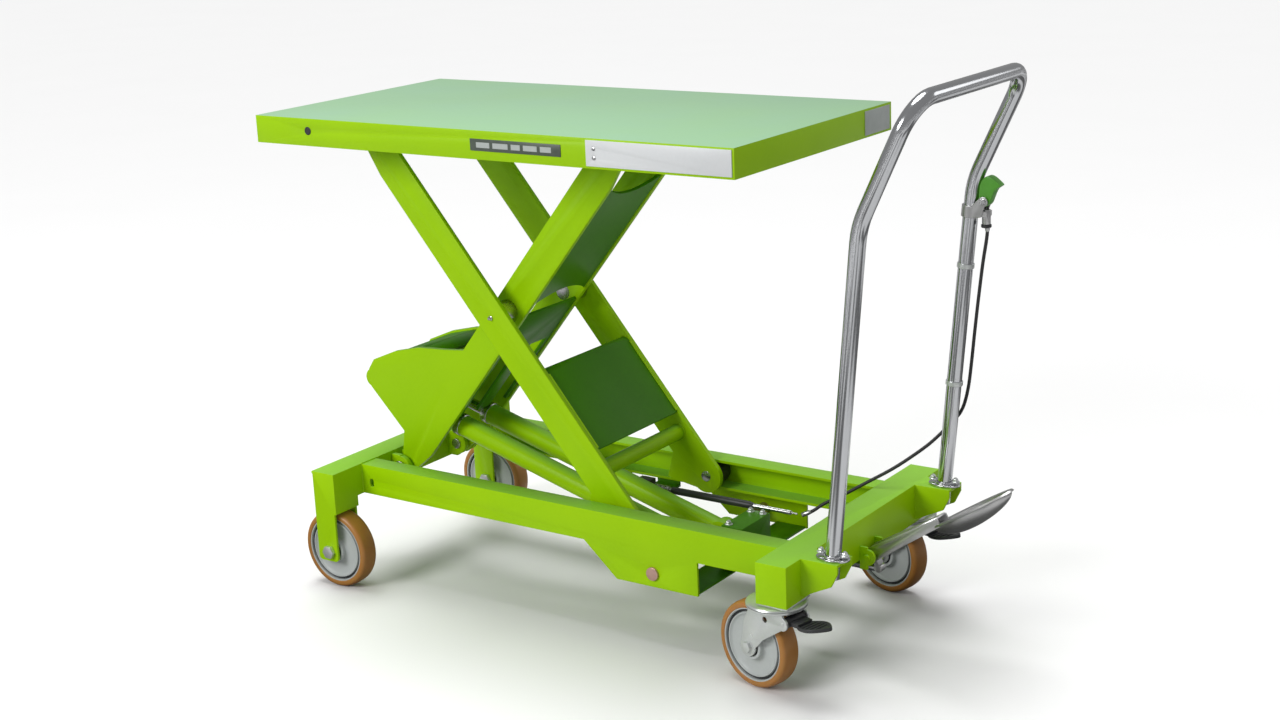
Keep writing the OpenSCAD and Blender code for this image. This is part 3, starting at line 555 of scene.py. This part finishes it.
# %% Turn the tyre, the rim and the bearing
WHEEL_R, TYRE_HALF, RIM_R = 75.0, 19.0, 62.8
shoulder = arc((67.0, 11.5), 7.2, 88, 12, 8)
tyre_side = [(RIM_R, 17.2), (64.2, 18.6)] + shoulder + [(74.9, 7.0), (WHEEL_R, 0.6)]
tyre = turned(tyre_side + [(r, -h) for r, h in reversed(tyre_side)], 96)
face = [(24, 14.5), (27, 12.4), (33, 11.6), (48, 11.6), (51, 13.0), (53.2, 15.6), (55.0, 15.6), (55.8, 13.5),
        (56.2, 5.5), (60.0, 5.5), (60.4, 16.4), (61.2, 17.4), (RIM_R, 17.4)]
rim_side = [(17.5, 17.0), (18.0, 21.6), (19.0, 22.4), (22.6, 22.4), (23.6, 21.4)] + face
rim = turned(rim_side + [(r, -h) for r, h in reversed(rim_side)], 96)
# Painted shade: a black ring on the floor of the groove
groove_shade_ring = turned([(56.4, 5.6), (59.8, 5.6), (59.8, 12.5), (58.0, 13.4), (56.4, 12.5)], 72)
seal = turned([(11.0, 14.0), (17.4, 14.0), (17.4, 18.6), (16.0, 19.6), (12.6, 19.6), (11.0, 18.8)], 48)
sleeve = turned([(8.1, -22.6), (10.9, -22.6), (11.0, -22.0), (11.0, 22.0), (10.9, 22.6), (8.1, 22.6)], 48)
small_sleeve = turned([(6.1, -22.6), (10.9, -22.6), (11.0, -22.0), (11.0, 22.0), (10.9, 22.6), (6.1, 22.6)], 48)
both_sides = [Matrix.Identity(4), Matrix.Rotation(math.pi, 4, "X")]
groove_shade_pair = joined([placed(groove_shade_ring, m) for m in both_sides])
seal_pair = joined([placed(seal, m) for m in both_sides])
print("tyre", len(tyre.data.polygons), "faces, rim", len(rim.data.polygons), "faces")

# %% Fit the four wheels
def axle_frame(name):
    """Carries +Z onto a joint's axis and the origin onto its place."""
    turn = Vector((0, 0, 1)).rotation_difference(Vector(joint[name]["axis"]))
    return Matrix.Translation(joint[name]["pos_m"]) @ turn.to_matrix().to_4x4()


for body, name, nodes, inner in (
    ("rear_wheel_near", "rear_wheel_near_spin", "rear_{}_near", sleeve),
    ("rear_wheel_far", "rear_wheel_far_spin", "rear_{}_far", sleeve),
    ("caster_wheel_near", "caster_wheel_near_spin", "caster_{}_near", small_sleeve),
    ("caster_wheel_far", "caster_wheel_far_spin", "caster_{}_far", small_sleeve),
):
    place = axle_frame(name)
    settle(placed(tyre, place), body + "_tyre", body, tyre_tan, [nodes.format("tyre")])
    settle(placed(rim, place), body + "_rim", body, rim_paint, [nodes.format("rim")])
    settle(placed(groove_shade_pair, place), body + "_groove_shade", body, black_plastic)
    settle(placed(seal_pair, place), body + "_seals", body, nylon)
    settle(placed(inner, place), body + "_sleeve", body, pin_steel)
discard(tyre, rim, groove_shade_ring, groove_shade_pair, seal, seal_pair, sleeve, small_sleeve)

# %% [markdown]
# ## Tubes and wires
# The push handle is one length of tube with a wide bend in each leg and a tight one at each upper corner. A path
# is given by its corners and the radius of each bend, and a round section is swept along it.

# %% A swept tube
def filleted(corners, radii, step=math.radians(5)):
    """The corner points of a path with each inner corner rounded to its radius, all in metres."""
    points = [Vector(corners[0])]
    for before, corner, after, radius in zip(corners, corners[1:], corners[2:], radii):
        a = (Vector(before) - Vector(corner)).normalized()
        b = (Vector(after) - Vector(corner)).normalized()
        turn = math.pi - a.angle(b)
        reach = radius * math.tan(turn / 2)
        centre = Vector(corner) + (a + b).normalized() * radius / math.cos(turn / 2)
        start, normal = Vector(corner) + a * reach - centre, a.cross(b).normalized()
        count = max(2, round(turn / step))
        points += [centre + Matrix.Rotation(-turn * i / count, 3, normal) @ start for i in range(count + 1)]
    return points + [Vector(corners[-1])]


def swept_tube(points, radius, sides, swell=None):
    """A closed round tube along the points, each as thick as swell says."""
    curve = bpy.data.curves.new("tube", "CURVE")
    curve.dimensions = "3D"
    curve.bevel_depth = radius
    curve.bevel_resolution = sides // 4 - 1
    curve.use_fill_caps = True
    line = curve.splines.new("POLY")
    line.points.add(len(points) - 1)
    for i, (point, place) in enumerate(zip(line.points, points)):
        point.co = (*place, 1)
        point.radius = swell(i) if swell else 1.0
    tube = bpy.data.objects.new("tube", curve)
    scene.collection.objects.link(tube)
    only(tube)
    bpy.ops.object.convert(target="MESH")
    tube = bpy.context.view_layer.objects.active
    bpy.ops.object.mode_set(mode="EDIT")
    bpy.ops.mesh.select_all(action="SELECT")
    bpy.ops.mesh.normals_make_consistent(inside=False)
    bpy.ops.object.mode_set(mode="OBJECT")
    smooth(tube, 50)
    return tube


# %% Bend the push handle
TUBE_R, LEG_Y, LEG_BEND, TOP_BEND = 0.013, 0.200, 0.150, 0.055
handle_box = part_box("push_handle")
handle_top = Vector((handle_box[1][0] - TUBE_R, LEG_Y, handle_box[1][2] - TUBE_R))
foot = Vector((handle_top.x - 0.145, LEG_Y, 0.237))
knee = Vector((handle_top.x - 0.092, LEG_Y, handle_top.z - 0.192))
foot_low = foot + (foot - knee).normalized() * 0.033
far_to_near = Vector((1, -1, 1))
leg = [foot_low, knee, handle_top]
corners = leg + [corner * far_to_near for corner in reversed(leg)]
handle = swept_tube(filleted(corners, [LEG_BEND, TOP_BEND, TOP_BEND, LEG_BEND]), TUBE_R, 32)
settle(handle, "push_handle_tube", "base", chrome, ["push_handle"])
print("handle of", len(handle.data.polygons), "faces, top at", round(handle_top.z, 3))

# %% [markdown]
# ## The foot pedal
# The pad is a long dished spoon, pressed from sheet with a rolled lip, on the end of a tapered channel. It starts
# as a sphere: the upper half is cut off, the rest is flattened to a boat shape, and the open edge is rolled.

# %% Press the pedal spoon
pad_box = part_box("pedal_pad")
pad_low, pad_high = Vector(pad_box[0]), Vector(pad_box[1])
slope = math.radians(32)
pad_length = (pad_high.x - pad_low.x - 0.010) / math.cos(slope)
bpy.ops.mesh.primitive_uv_sphere_add(segments=64, ring_count=32, radius=1)
spoon = bpy.context.object
bpy.ops.object.mode_set(mode="EDIT")
bpy.ops.mesh.select_all(action="SELECT")
bpy.ops.mesh.bisect(plane_co=(0, 0, 0), plane_no=(0, 0, 1), clear_outer=True)
bpy.ops.object.mode_set(mode="OBJECT")
for vertex in spoon.data.vertices:
    x, y, z = vertex.co
    narrow = 1 - 0.12 * x * x + 0.10 * x
    vertex.co = (x * pad_length / 2, y * 0.031 * narrow, z * 0.027 * (1 - 0.18 * x))
bpy.ops.object.mode_set(mode="EDIT")
bpy.ops.mesh.select_all(action="DESELECT")
bpy.ops.mesh.select_non_manifold()
bpy.ops.mesh.extrude_region_move(TRANSFORM_OT_translate={"value": (0, 0, 0.0012)})
bpy.ops.transform.resize(value=(1.03, 1.09, 1), center_override=(0, 0, 0.0012))
bpy.ops.mesh.extrude_region_move(TRANSFORM_OT_translate={"value": (0, 0, -0.002)})
bpy.ops.transform.resize(value=(1.012, 1.03, 1), center_override=(0, 0, 0))
bpy.ops.mesh.select_all(action="SELECT")
bpy.ops.mesh.normals_make_consistent(inside=False)
bpy.ops.object.mode_set(mode="OBJECT")
apply_modifier(spoon, "SOLIDIFY", thickness=0.002, offset=1)
smooth(spoon, 50)
spoon.location = (pad_low + pad_high) / 2 + Vector((0.002, 0, 0.002))
spoon.rotation_euler = (0, -slope, 0)
settle(spoon, "pedal_spoon", "pedal", satin, ["pedal_pad"])
print("spoon is", round(pad_length, 3), "m long")

# %% [markdown]
# ## The brake pedals
# Each caster has a black moulded pedal shaped like a leaf. It has a raised rim and cross ribs, so that a shoe
# doesn't slip. A disc is drawn out to the leaf, its face is sunk inside the rim, and the ribs lie in the hollow.

# %% Mould one brake pedal and fit it twice
def box_piece(low_mm, high_mm):
    """A block between two corners in millimetres, as a start for a part."""
    size = [(b - a) * MM for a, b in zip(low_mm, high_mm)]
    middle = [(a + b) / 2 * MM for a, b in zip(low_mm, high_mm)]
    bpy.ops.object.select_all(action="DESELECT")
    bpy.ops.mesh.primitive_cube_add(size=1, location=middle)
    block = bpy.context.object
    block.scale = size
    bpy.ops.object.transform_apply(location=True, rotation=True, scale=True)
    return block


def bar(centre_mm, radius_mm, length_mm):
    """A round bar along Y, as a start for a part."""
    bpy.ops.object.select_all(action="DESELECT")
    bpy.ops.mesh.primitive_cylinder_add(vertices=40, radius=radius_mm * MM, depth=length_mm * MM)
    piece = bpy.context.object
    piece.data.transform(Matrix.Rotation(math.pi / 2, 4, "X"))
    piece.data.transform(Matrix.Translation([c * MM for c in centre_mm]))
    return piece


BRAKE_X, BRAKE_Z = 36, 136
bpy.ops.mesh.primitive_circle_add(vertices=56, radius=1, fill_type="NGON")
leaf = bpy.context.object
for vertex in leaf.data.vertices:
    x, y, z = vertex.co
    vertex.co = (x * 0.0345, y * 0.0235 * (1 - 0.42 * max(x, 0) ** 2 - 0.12 * max(-x, 0)), 0)
bpy.ops.object.mode_set(mode="EDIT")
bpy.ops.mesh.select_all(action="SELECT")
bpy.ops.mesh.extrude_region_move(TRANSFORM_OT_translate={"value": (0, 0, 0.006)})
bpy.ops.mesh.inset(thickness=0.0028, depth=0)
bpy.ops.mesh.inset(thickness=0.0012, depth=-0.0018)
bpy.ops.mesh.select_all(action="SELECT")
bpy.ops.mesh.normals_make_consistent(inside=False)
bpy.ops.object.mode_set(mode="OBJECT")
RIBS = ((-22, 14), (-13, 17), (-4, 18), (5, 17), (14, 13))
leaf = joined([leaf] + [box_piece((x - 1, -w, 3.8), (x + 1, w, 5.8)) for x, w in RIBS])
leaf.data.transform(Matrix.Translation((0.0835, 0, 0.1345)) @ Matrix.Rotation(math.radians(-10), 4, "Y"))
neck = box_piece((BRAKE_X, -17, BRAKE_Z - 3), (BRAKE_X + 26, 17, BRAKE_Z + 4))
brake = joined([leaf, neck, bar((BRAKE_X, 0, BRAKE_Z), 8.8, 43)])
apply_modifier(brake, "BEVEL", width=0.0008, segments=2, limit_method="ANGLE", angle_limit=math.radians(35))
smooth(brake, 40)


def caster_frame(side):
    """Carries a caster's own frame to its swivel, turned as the caster stands."""
    swivel, axle = joint[f"caster_{side}_swivel"]["pos_m"], joint[f"caster_wheel_{side}_spin"]["axis"]
    turn = Matrix.Rotation(math.atan2(-axle[0], axle[1]), 4, "Z")
    return Matrix.Translation((swivel[0], swivel[1], 0)) @ turn


for side in ("near", "far"):
    settle(placed(brake, caster_frame(side)), f"brake_{side}_leaf", f"brake_{side}", black_plastic,
           [f"brake_pedal_{side}"])
discard(brake)

# %% [markdown]
# ## Swivel races, nuts and screws
# Between a caster's top plate and its fork lie two pressed dishes, which hide a ring of balls. The lower one
# turns with the fork. Nuts, screw heads and grease nipples are turned or six-sided, and each is modelled once.

# %% Press the swivel dishes
lower_dish = turned([(12, 153.2), (42, 152.9), (48.4, 153.4), (50.6, 155.0), (50.8, 157.1), (12, 157.15)], 64)
upper_dish = turned([(12, 157.6), (50.2, 157.6), (51.0, 158.8), (49.4, 161.2), (45.0, 162.6), (12, 162.8)], 64)
for side in ("near", "far"):
    settle(placed(lower_dish, caster_frame(side)), f"race_lower_{side}", f"fork_{side}", zinc)
    settle(placed(upper_dish, caster_frame(side)), f"race_upper_{side}", "base", zinc)
discard(lower_dish, upper_dish)


# %% Nuts and screws
def hexagon_nut(across_mm, height_mm, stud_mm):
    """A nut along +Z with a chamfered crown, a washer under it and the end of its bolt through it."""
    nut = turned([(0.01, 0), (across_mm * 0.56, 0), (across_mm * 0.577, 0.5), (across_mm * 0.577, height_mm * 0.82),
                  (across_mm * 0.50, height_mm), (0.01, height_mm)], 6)
    for polygon in nut.data.polygons:
        polygon.use_smooth = False
    washer = turned([(0.01, -0.9), (across_mm * 0.78, -0.9), (across_mm * 0.8, -0.7), (across_mm * 0.8, 0.1),
                     (across_mm * 0.78, 0.3), (0.01, 0.3)], 32)
    stud = turned([(0.01, 0), (stud_mm, 0), (stud_mm, height_mm + 1.6), (stud_mm - 0.7, height_mm + 2.3),
                   (0.01, height_mm + 2.3)], 24)
    return joined([nut, washer, stud])


def along(x, y, z, toward):
    """Carries +Z to a direction at a place in millimetres."""
    turn = Vector((0, 0, 1)).rotation_difference(Vector(toward)).to_matrix().to_4x4()
    return Matrix.Translation((x * MM, y * MM, z * MM)) @ turn


small_nut = hexagon_nut(9, 5, 2.6)
foot_x = foot.x / MM
nuts = [along(foot_x + dx, y, 245.9, (0, 0, 1)) for dx in (-21.5, 21.5) for y in (-200, 200)]
flange_nuts = joined([placed(small_nut, m) for m in nuts])
settle(flange_nuts, "flange_nuts", "base", zinc)
on_block = [along(x, y, 182.9, (0, 0, 1)) for x, y in ((157, -24), (157, 50), (182, 50))]
settle(joined([placed(small_nut, m) for m in on_block]), "pump_nuts", "base", zinc)
discard(small_nut)
button = turned([(0.01, 0), (3.4, 0), (3.6, 0.3), (3.2, 1.0), (1.7, 1.5), (1.5, 0.9), (0.01, 0.8)], 28)
plate_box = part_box("side_plate")
screw_x = (plate_box[0].x + 0.016) / MM
screws = joined([placed(button, along(screw_x, plate_box[0].y / MM, z, (0, -1, 0))) for z in (864.5, 879.5)])
settle(screws, "side_plate_screws", "platform", pin_steel)
discard(button)
nipple = turned([(0.01, 0), (4.2, 0), (4.2, 1.8), (3.0, 2.2), (2.2, 3.0), (2.2, 4.4), (3.0, 5.2), (3.0, 6.2),
                 (2.0, 7.2), (0.01, 7.4)], 24)
centre = joint["scissor_centre"]["pos_m"]
nipples = joined([placed(nipple, along(centre[0] / MM, s * 136, centre[2] / MM, (0, s, 0))) for s in (-1, 1)])
settle(nipples, "grease_nipples", "outer_frame", pin_steel)
discard(nipple)
print("nuts, screws and nipples placed")

# %% [markdown]
# ## The blank labels
# Two foil labels are stuck on the apron: a dark one on the long side and a silver one on the end. The CAD keeps
# them as one piece, so the copy is parted and each label gets its own foil. The dark one has empty pale fields,
# where a maker would print. A black plug closes the round hole near the other end.

# %% Part the labels
labels = rolled_copy("blank_labels", 0.2)
only(labels)
bpy.ops.object.mode_set(mode="EDIT")
bpy.ops.mesh.select_all(action="SELECT")
bpy.ops.mesh.separate(type="LOOSE")
bpy.ops.object.mode_set(mode="OBJECT")
for label in list(bpy.context.selected_objects):
    on_side = min(v.co.y for v in label.data.vertices) < -0.25
    foil = label_dark if on_side else label_silver
    settle(label, "side_label" if on_side else "end_label", "platform", foil, ["blank_labels"])
dark = bpy.data.objects["side_label"]
low = Vector([min(v.co[i] for v in dark.data.vertices) for i in range(3)]) / MM
high = Vector([max(v.co[i] for v in dark.data.vertices) for i in range(3)]) / MM
fields, edge = [], 0.07
for share in (0.15, 0.17, 0.10, 0.15, 0.12):
    left, right = (low.x + (high.x - low.x) * f for f in (edge, edge + share))
    fields.append(box_piece((left, low.y - 0.15, low.z + 5.5), (right, low.y + 0.1, high.z - 5.5)))
    edge += share + 0.035
settle(joined(fields), "side_label_fields", "platform", label_silver)
plug = turned([(0.01, 0), (7.2, 0), (7.4, 0.5), (6.4, 1.4), (5.2, 1.6), (4.4, 0.9), (0.01, 0.8)], 36)
deck_low, deck_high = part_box("deck")
hole = along(deck_low.x / MM + 127, deck_low.y / MM, deck_high.z / MM - 22, (0, -1, 0))
settle(placed(plug, hole), "apron_plug", "platform", black_plastic)
discard(plug)

# %% [markdown]
# ## The release
# A green trigger on the far leg pulls a cable. The cable runs down beside that leg, over the handle-end beam and
# across to a rod that opens the pump's valve. Its path repeats the CAD route, as a smooth curve through those
# places.

# %% Mould the trigger
def smooth_path(points, steps=6, closed=False):
    """Catmull-Rom points through a path, or round a closed outline."""
    points = [Vector(p) for p in points]
    if closed:
        ends = [points[-1]] + points + points[:2]
    else:
        ends = [points[0] * 2 - points[1]] + points + [points[-1] * 2 - points[-2]]
    path = []
    for a, b, c, d in zip(ends, ends[1:], ends[2:], ends[3:]):
        for i in range(steps):
            t = i / steps
            path.append(0.5 * (2 * b + (c - a) * t + (2 * a - 5 * b + 4 * c - d) * t ** 2
                               + (3 * b - a - 3 * c + d) * t ** 3))
    return path if closed else path + [points[-1]]


def cut_plate(outline_mm, y_mm, thickness_mm, rounding_mm, segments=3):
    """A plate cut to an outline of (x, z), as thick as given along Y, with its edges rounded."""
    mesh = bpy.data.meshes.new("plate")
    mesh.from_pydata([(x * MM, (y_mm - thickness_mm / 2) * MM, z * MM) for x, z in outline_mm], [],
                     [list(range(len(outline_mm)))])
    plate = bpy.data.objects.new("plate", mesh)
    scene.collection.objects.link(plate)
    only(plate)
    bpy.ops.object.mode_set(mode="EDIT")
    bpy.ops.mesh.select_all(action="SELECT")
    bpy.ops.mesh.extrude_region_move(TRANSFORM_OT_translate={"value": (0, thickness_mm * MM, 0)})
    bpy.ops.mesh.select_all(action="SELECT")
    bpy.ops.mesh.normals_make_consistent(inside=False)
    bpy.ops.object.mode_set(mode="OBJECT")
    apply_modifier(plate, "BEVEL", width=rounding_mm * MM, segments=segments, limit_method="ANGLE",
                   angle_limit=math.radians(40))
    smooth(plate, 45)
    return plate


lever_x, lever_y, lever_z = (v / MM for v in joint["release_squeeze"]["pos_m"])
TRIGGER_XZ = ((-9.4, 0), (-9, 14), (-7, 28), (-2, 37.5), (5, 42.5), (13, 41), (21, 35.5), (27.5, 30), (29, 27.5),
              (26, 25), (20.5, 21), (16.5, 14), (13.5, 6), (8.5, -4.5), (0, -9.6), (-7.5, -6))
outline = [(lever_x + p.x, lever_z + p.y) for p in smooth_path(TRIGGER_XZ, 4, closed=True)]
settle(cut_plate(outline, lever_y, 18, 3.2, 4), "release_trigger", "release_grip", green_grip, ["release_lever"])
print("trigger outline of", len(outline), "points")

# %% Fold its bracket
clamp_mid = foot + (knee - foot).normalized() * 0.495
band = turned([(13.1, -10), (15.4, -10), (16.0, -9.4), (16.0, 9.4), (15.4, 10), (13.1, 10)], 48)
band_piece = placed(band, along(*(clamp_mid / MM), knee - foot))
back = clamp_mid.x / MM + 8
round_end = [(lever_x + 8.5 * math.cos(a), lever_z + 8.5 * math.sin(a))
             for a in (math.radians(d) for d in range(-70, 131, 10))]
cheek_outline = [(back, lever_z - 27), (lever_x - 4, lever_z - 27)] + round_end + [(back, lever_z - 7)]
cheeks = [cut_plate(cheek_outline, lever_y + s * 11.8, 3.2, 0.7) for s in (-1, 1)]
barrel = turned([(3.2, -16), (6.8, -16), (7.4, -15), (7.4, 8), (6.6, 9.4), (3.2, 9.4)], 36)
barrel_piece = placed(barrel, along(lever_x + 1, lever_y, lever_z - 24, (0, 0, 1)))
bridge = box_piece((back, lever_y - 10.6, lever_z - 26), (lever_x + 6, lever_y + 10.6, lever_z - 17))
settle(joined([band_piece] + cheeks + [barrel_piece, bridge]), "release_bracket", "base", satin, ["release_clamp"])
discard(band, barrel)
print("bracket folded round the leg at height", round(clamp_mid.z, 3))

# %% Add the cable adjuster and the pivot caps
knob = turned([(3.1, 0), (8.2, 0), (8.8, 0.8), (8.8, 4.6), (8.2, 5.4), (3.1, 5.4)], 14)
settle(placed(knob, along(lever_x + 1, lever_y, lever_z - 45, (0, 0, 1))), "cable_adjuster", "base", black_plastic)
pivot_cap = turned([(0.01, 12.5), (5.2, 12.5), (5.4, 14.4), (4.4, 15.6), (0.01, 15.8)], 28)
caps = joined([placed(pivot_cap, along(lever_x, lever_y, lever_z, (0, s, 0))) for s in (-1, 1)])
settle(caps, "trigger_pivot_caps", "base", pin_steel)
discard(knob, pivot_cap)
print("adjuster and pivot caps fitted")

# %% Run the cable
deck_middle = (deck_low.x + deck_high.x) / 2
ROUTE_MM = ((716, 200, 714), (713, 202, 685), (704, 207, 640), (694, 213, 580), (686, 216, 520), (679, 218, 460),
            (672, 219, 410), (659, 221, 370), (636, 218, 340), (614, 196, 313), (590, 172, 291), (560, 150, 268),
            (525, 128, 246), (490, 108, 224), (458, 92, 206), (438, 81, 191), (420.5, 76, 183))
route = [Vector((x * MM + deck_middle, y * MM, z * MM)) for x, y, z in ROUTE_MM]
path = smooth_path(route)
settle(swept_tube(path, 0.003, 12), "release_cable_sheath", "base", cable_black, ["release_cable"])
ferrule = turned([(1.6, 0), (3.9, 0), (4.2, 0.6), (4.2, 13), (3.7, 16), (3.1, 18), (1.6, 18)], 28)
ends = [along(*(p / MM), n) for p, n in ((path[0], path[6] - path[0]), (path[-1], path[-7] - path[-1]))]
settle(joined([placed(ferrule, m) for m in ends]), "cable_ferrules", "base", pin_steel)
discard(ferrule)
print("cable length", round(sum((b - a).length for a, b in zip(path, path[1:])), 3), "m")

# %% Fit the rod sleeve, the return spring and the clips
rod_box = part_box("release_rod")
rod_y, rod_z = (rod_box[0].y + rod_box[1].y) / 2 / MM, (rod_box[0].z + rod_box[1].z) / 2 / MM
valve_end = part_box("release_valve")[1].x / MM
sleeve_piece = turned([(4.02, 0), (6.2, 0), (6.8, 1.0), (6.8, 168), (6.0, 171), (4.8, 176), (4.02, 176)], 32)
settle(placed(sleeve_piece, along(valve_end + 44, rod_y, rod_z, (1, 0, 0))), "rod_sleeve", "release_rod",
       black_plastic)
discard(sleeve_piece)
COILS, COIL_STEPS, COIL_R, SPRING_LENGTH = 9, 16, 6.4, 36
helix = [Vector(((valve_end + 3 + SPRING_LENGTH * i / (COILS * COIL_STEPS)) * MM,
                 (rod_y + COIL_R * math.cos(math.tau * i / COIL_STEPS)) * MM,
                 (rod_z + COIL_R * math.sin(math.tau * i / COIL_STEPS)) * MM))
         for i in range(COILS * COIL_STEPS + 1)]
settle(swept_tube(helix, 0.0009, 8), "return_spring", "base", pin_steel)
clip = turned([(13.1, -4), (14.4, -4), (14.8, -3.4), (14.8, 3.4), (14.4, 4), (13.1, 4)], 40)
lean = (knee - foot).normalized()
clips = joined([placed(clip, along(*((foot + lean * up) / MM), lean)) for up in (0.190, 0.400)])
settle(clips, "cable_clips", "base", zinc)
discard(clip)
print("spring of", COILS, "coils, and", len(clips.data.polygons), "faces of clips")

# %% [markdown]
# ## The cylinders and the pump
# Where each ram leaves its barrel there is a gland nut with a black wiper ring. The pump's tank is a drum with a
# filler cap. The pump stands low in the tray, so small pieces catch light there and nothing else does.

# %% Glands, wipers and the pump tank
anchor = Vector(joint["cylinder_swing"]["pos_m"])
stroke = Vector(joint["cylinder_stroke"]["axis"])
gland = turned([(11.4, -14), (20.2, -14), (21.4, -13), (21.4, -2), (20.4, 0), (17.0, 1.2), (11.4, 1.2)], 48)
wiper = turned([(11.1, 1.0), (15.6, 1.0), (15.6, 3.2), (12.2, 5.4), (11.1, 5.4)], 40)
GLAND_REACH, CYLINDER_Y = 0.560, 0.042
head = anchor + stroke * GLAND_REACH
heads = [along(*(Vector((head.x, y, head.z)) / MM), stroke) for y in (-CYLINDER_Y, CYLINDER_Y)]
settle(joined([placed(gland, m) for m in heads]), "gland_nuts", "barrels", pin_steel)
settle(joined([placed(wiper, m) for m in heads]), "wiper_rings", "barrels", nylon)
settle(rolled_copy("pump_reservoir", 1.6), "pump_tank", "base", pump_paint, ["pump_reservoir"])
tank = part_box("pump_reservoir")
cap = turned([(0.01, 0), (9, 0), (9, 2), (7.4, 2.6), (7.4, 8), (6.6, 9), (0.01, 9)], 12)
settle(placed(cap, along(tank[1].x / MM - 26, -64, tank[1].z / MM - 0.3, (0, 0, 1))), "filler_cap", "base",
       black_plastic)
discard(gland, wiper, cap)
print("glands, wipers and tank fitted")

# %% [markdown]
# ## Weld beads
# Where plate meets tube or beam, a welded seam runs along the corner. It is a thin bead with a ripple for each
# step of the torch. Each bead is a swept tube whose thickness rises and falls, half sunk in the corner.

# %% Lay the beads
def bead(points, radius=0.0022, pitch=0.003):
    path = [Vector(points[0])]
    for a, b in zip(points, points[1:]):
        a, b = Vector(a), Vector(b)
        count = max(1, round((b - a).length / pitch * 2))
        path += [a + (b - a) * i / count for i in range(1, count + 1)]
    return swept_tube(path, radius, 8, swell=lambda i: 1.0 if i % 2 else 0.78)


def ring(x, y, z, radius_mm, steps=40):
    """A circle round Y, in metres."""
    return [((x + radius_mm * math.cos(math.tau * i / steps)) * MM, y * MM,
             (z + radius_mm * math.sin(math.tau * i / steps)) * MM) for i in range(steps + 1)]


roller = joint["lower_roller_near_spin"]["pos_m"]
deck_pivot = joint["platform_pivot"]["pos_m"]


def on_arm(foot_place, head_place, reach, side, y):
    """A place on an arm: reach along it, side across it, in millimetres from its foot."""
    foot_place, head_place = Vector((foot_place[0], 0, foot_place[2])), Vector((head_place[0], 0, head_place[2]))
    line = (head_place - foot_place).normalized()
    across = Vector((line.z, 0, -line.x))
    spot = foot_place + line * reach * MM + across * side * MM
    return (spot.x, y * MM, spot.z)


rail, tube_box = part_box("rail_near"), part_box("outer_cross_tube")
tube_x, tube_z = (tube_box[0].x + tube_box[1].x) / 2 / MM, (tube_box[0].z + tube_box[1].z) / 2 / MM
base_seams = [[(x, s * 0.1872, 0.1755), (x, s * 0.1872, 0.229)] for x in (rail[0].x, rail[1].x) for s in (-1, 1)]
base_seams += [[(rail[0].x, s * y, 0.2302) for y in (0.149, 0.186)] for s in (-1, 1)]
outer_seams = [ring(tube_x, s * 125.6, tube_z, 15.4) for s in (-1, 1)]
outer_seams += [[on_arm(roller, deck_pivot, r, 31.0, s * 125) for r in (131, 288)] for s in (-1, 1)]
for name, body, seams in (("base", "base", base_seams), ("outer", "outer_frame", outer_seams)):
    settle(joined([bead(points) for points in seams]), name + "_weld_beads", body, lime_paint)
print("laid", len(base_seams) + len(outer_seams), "beads")
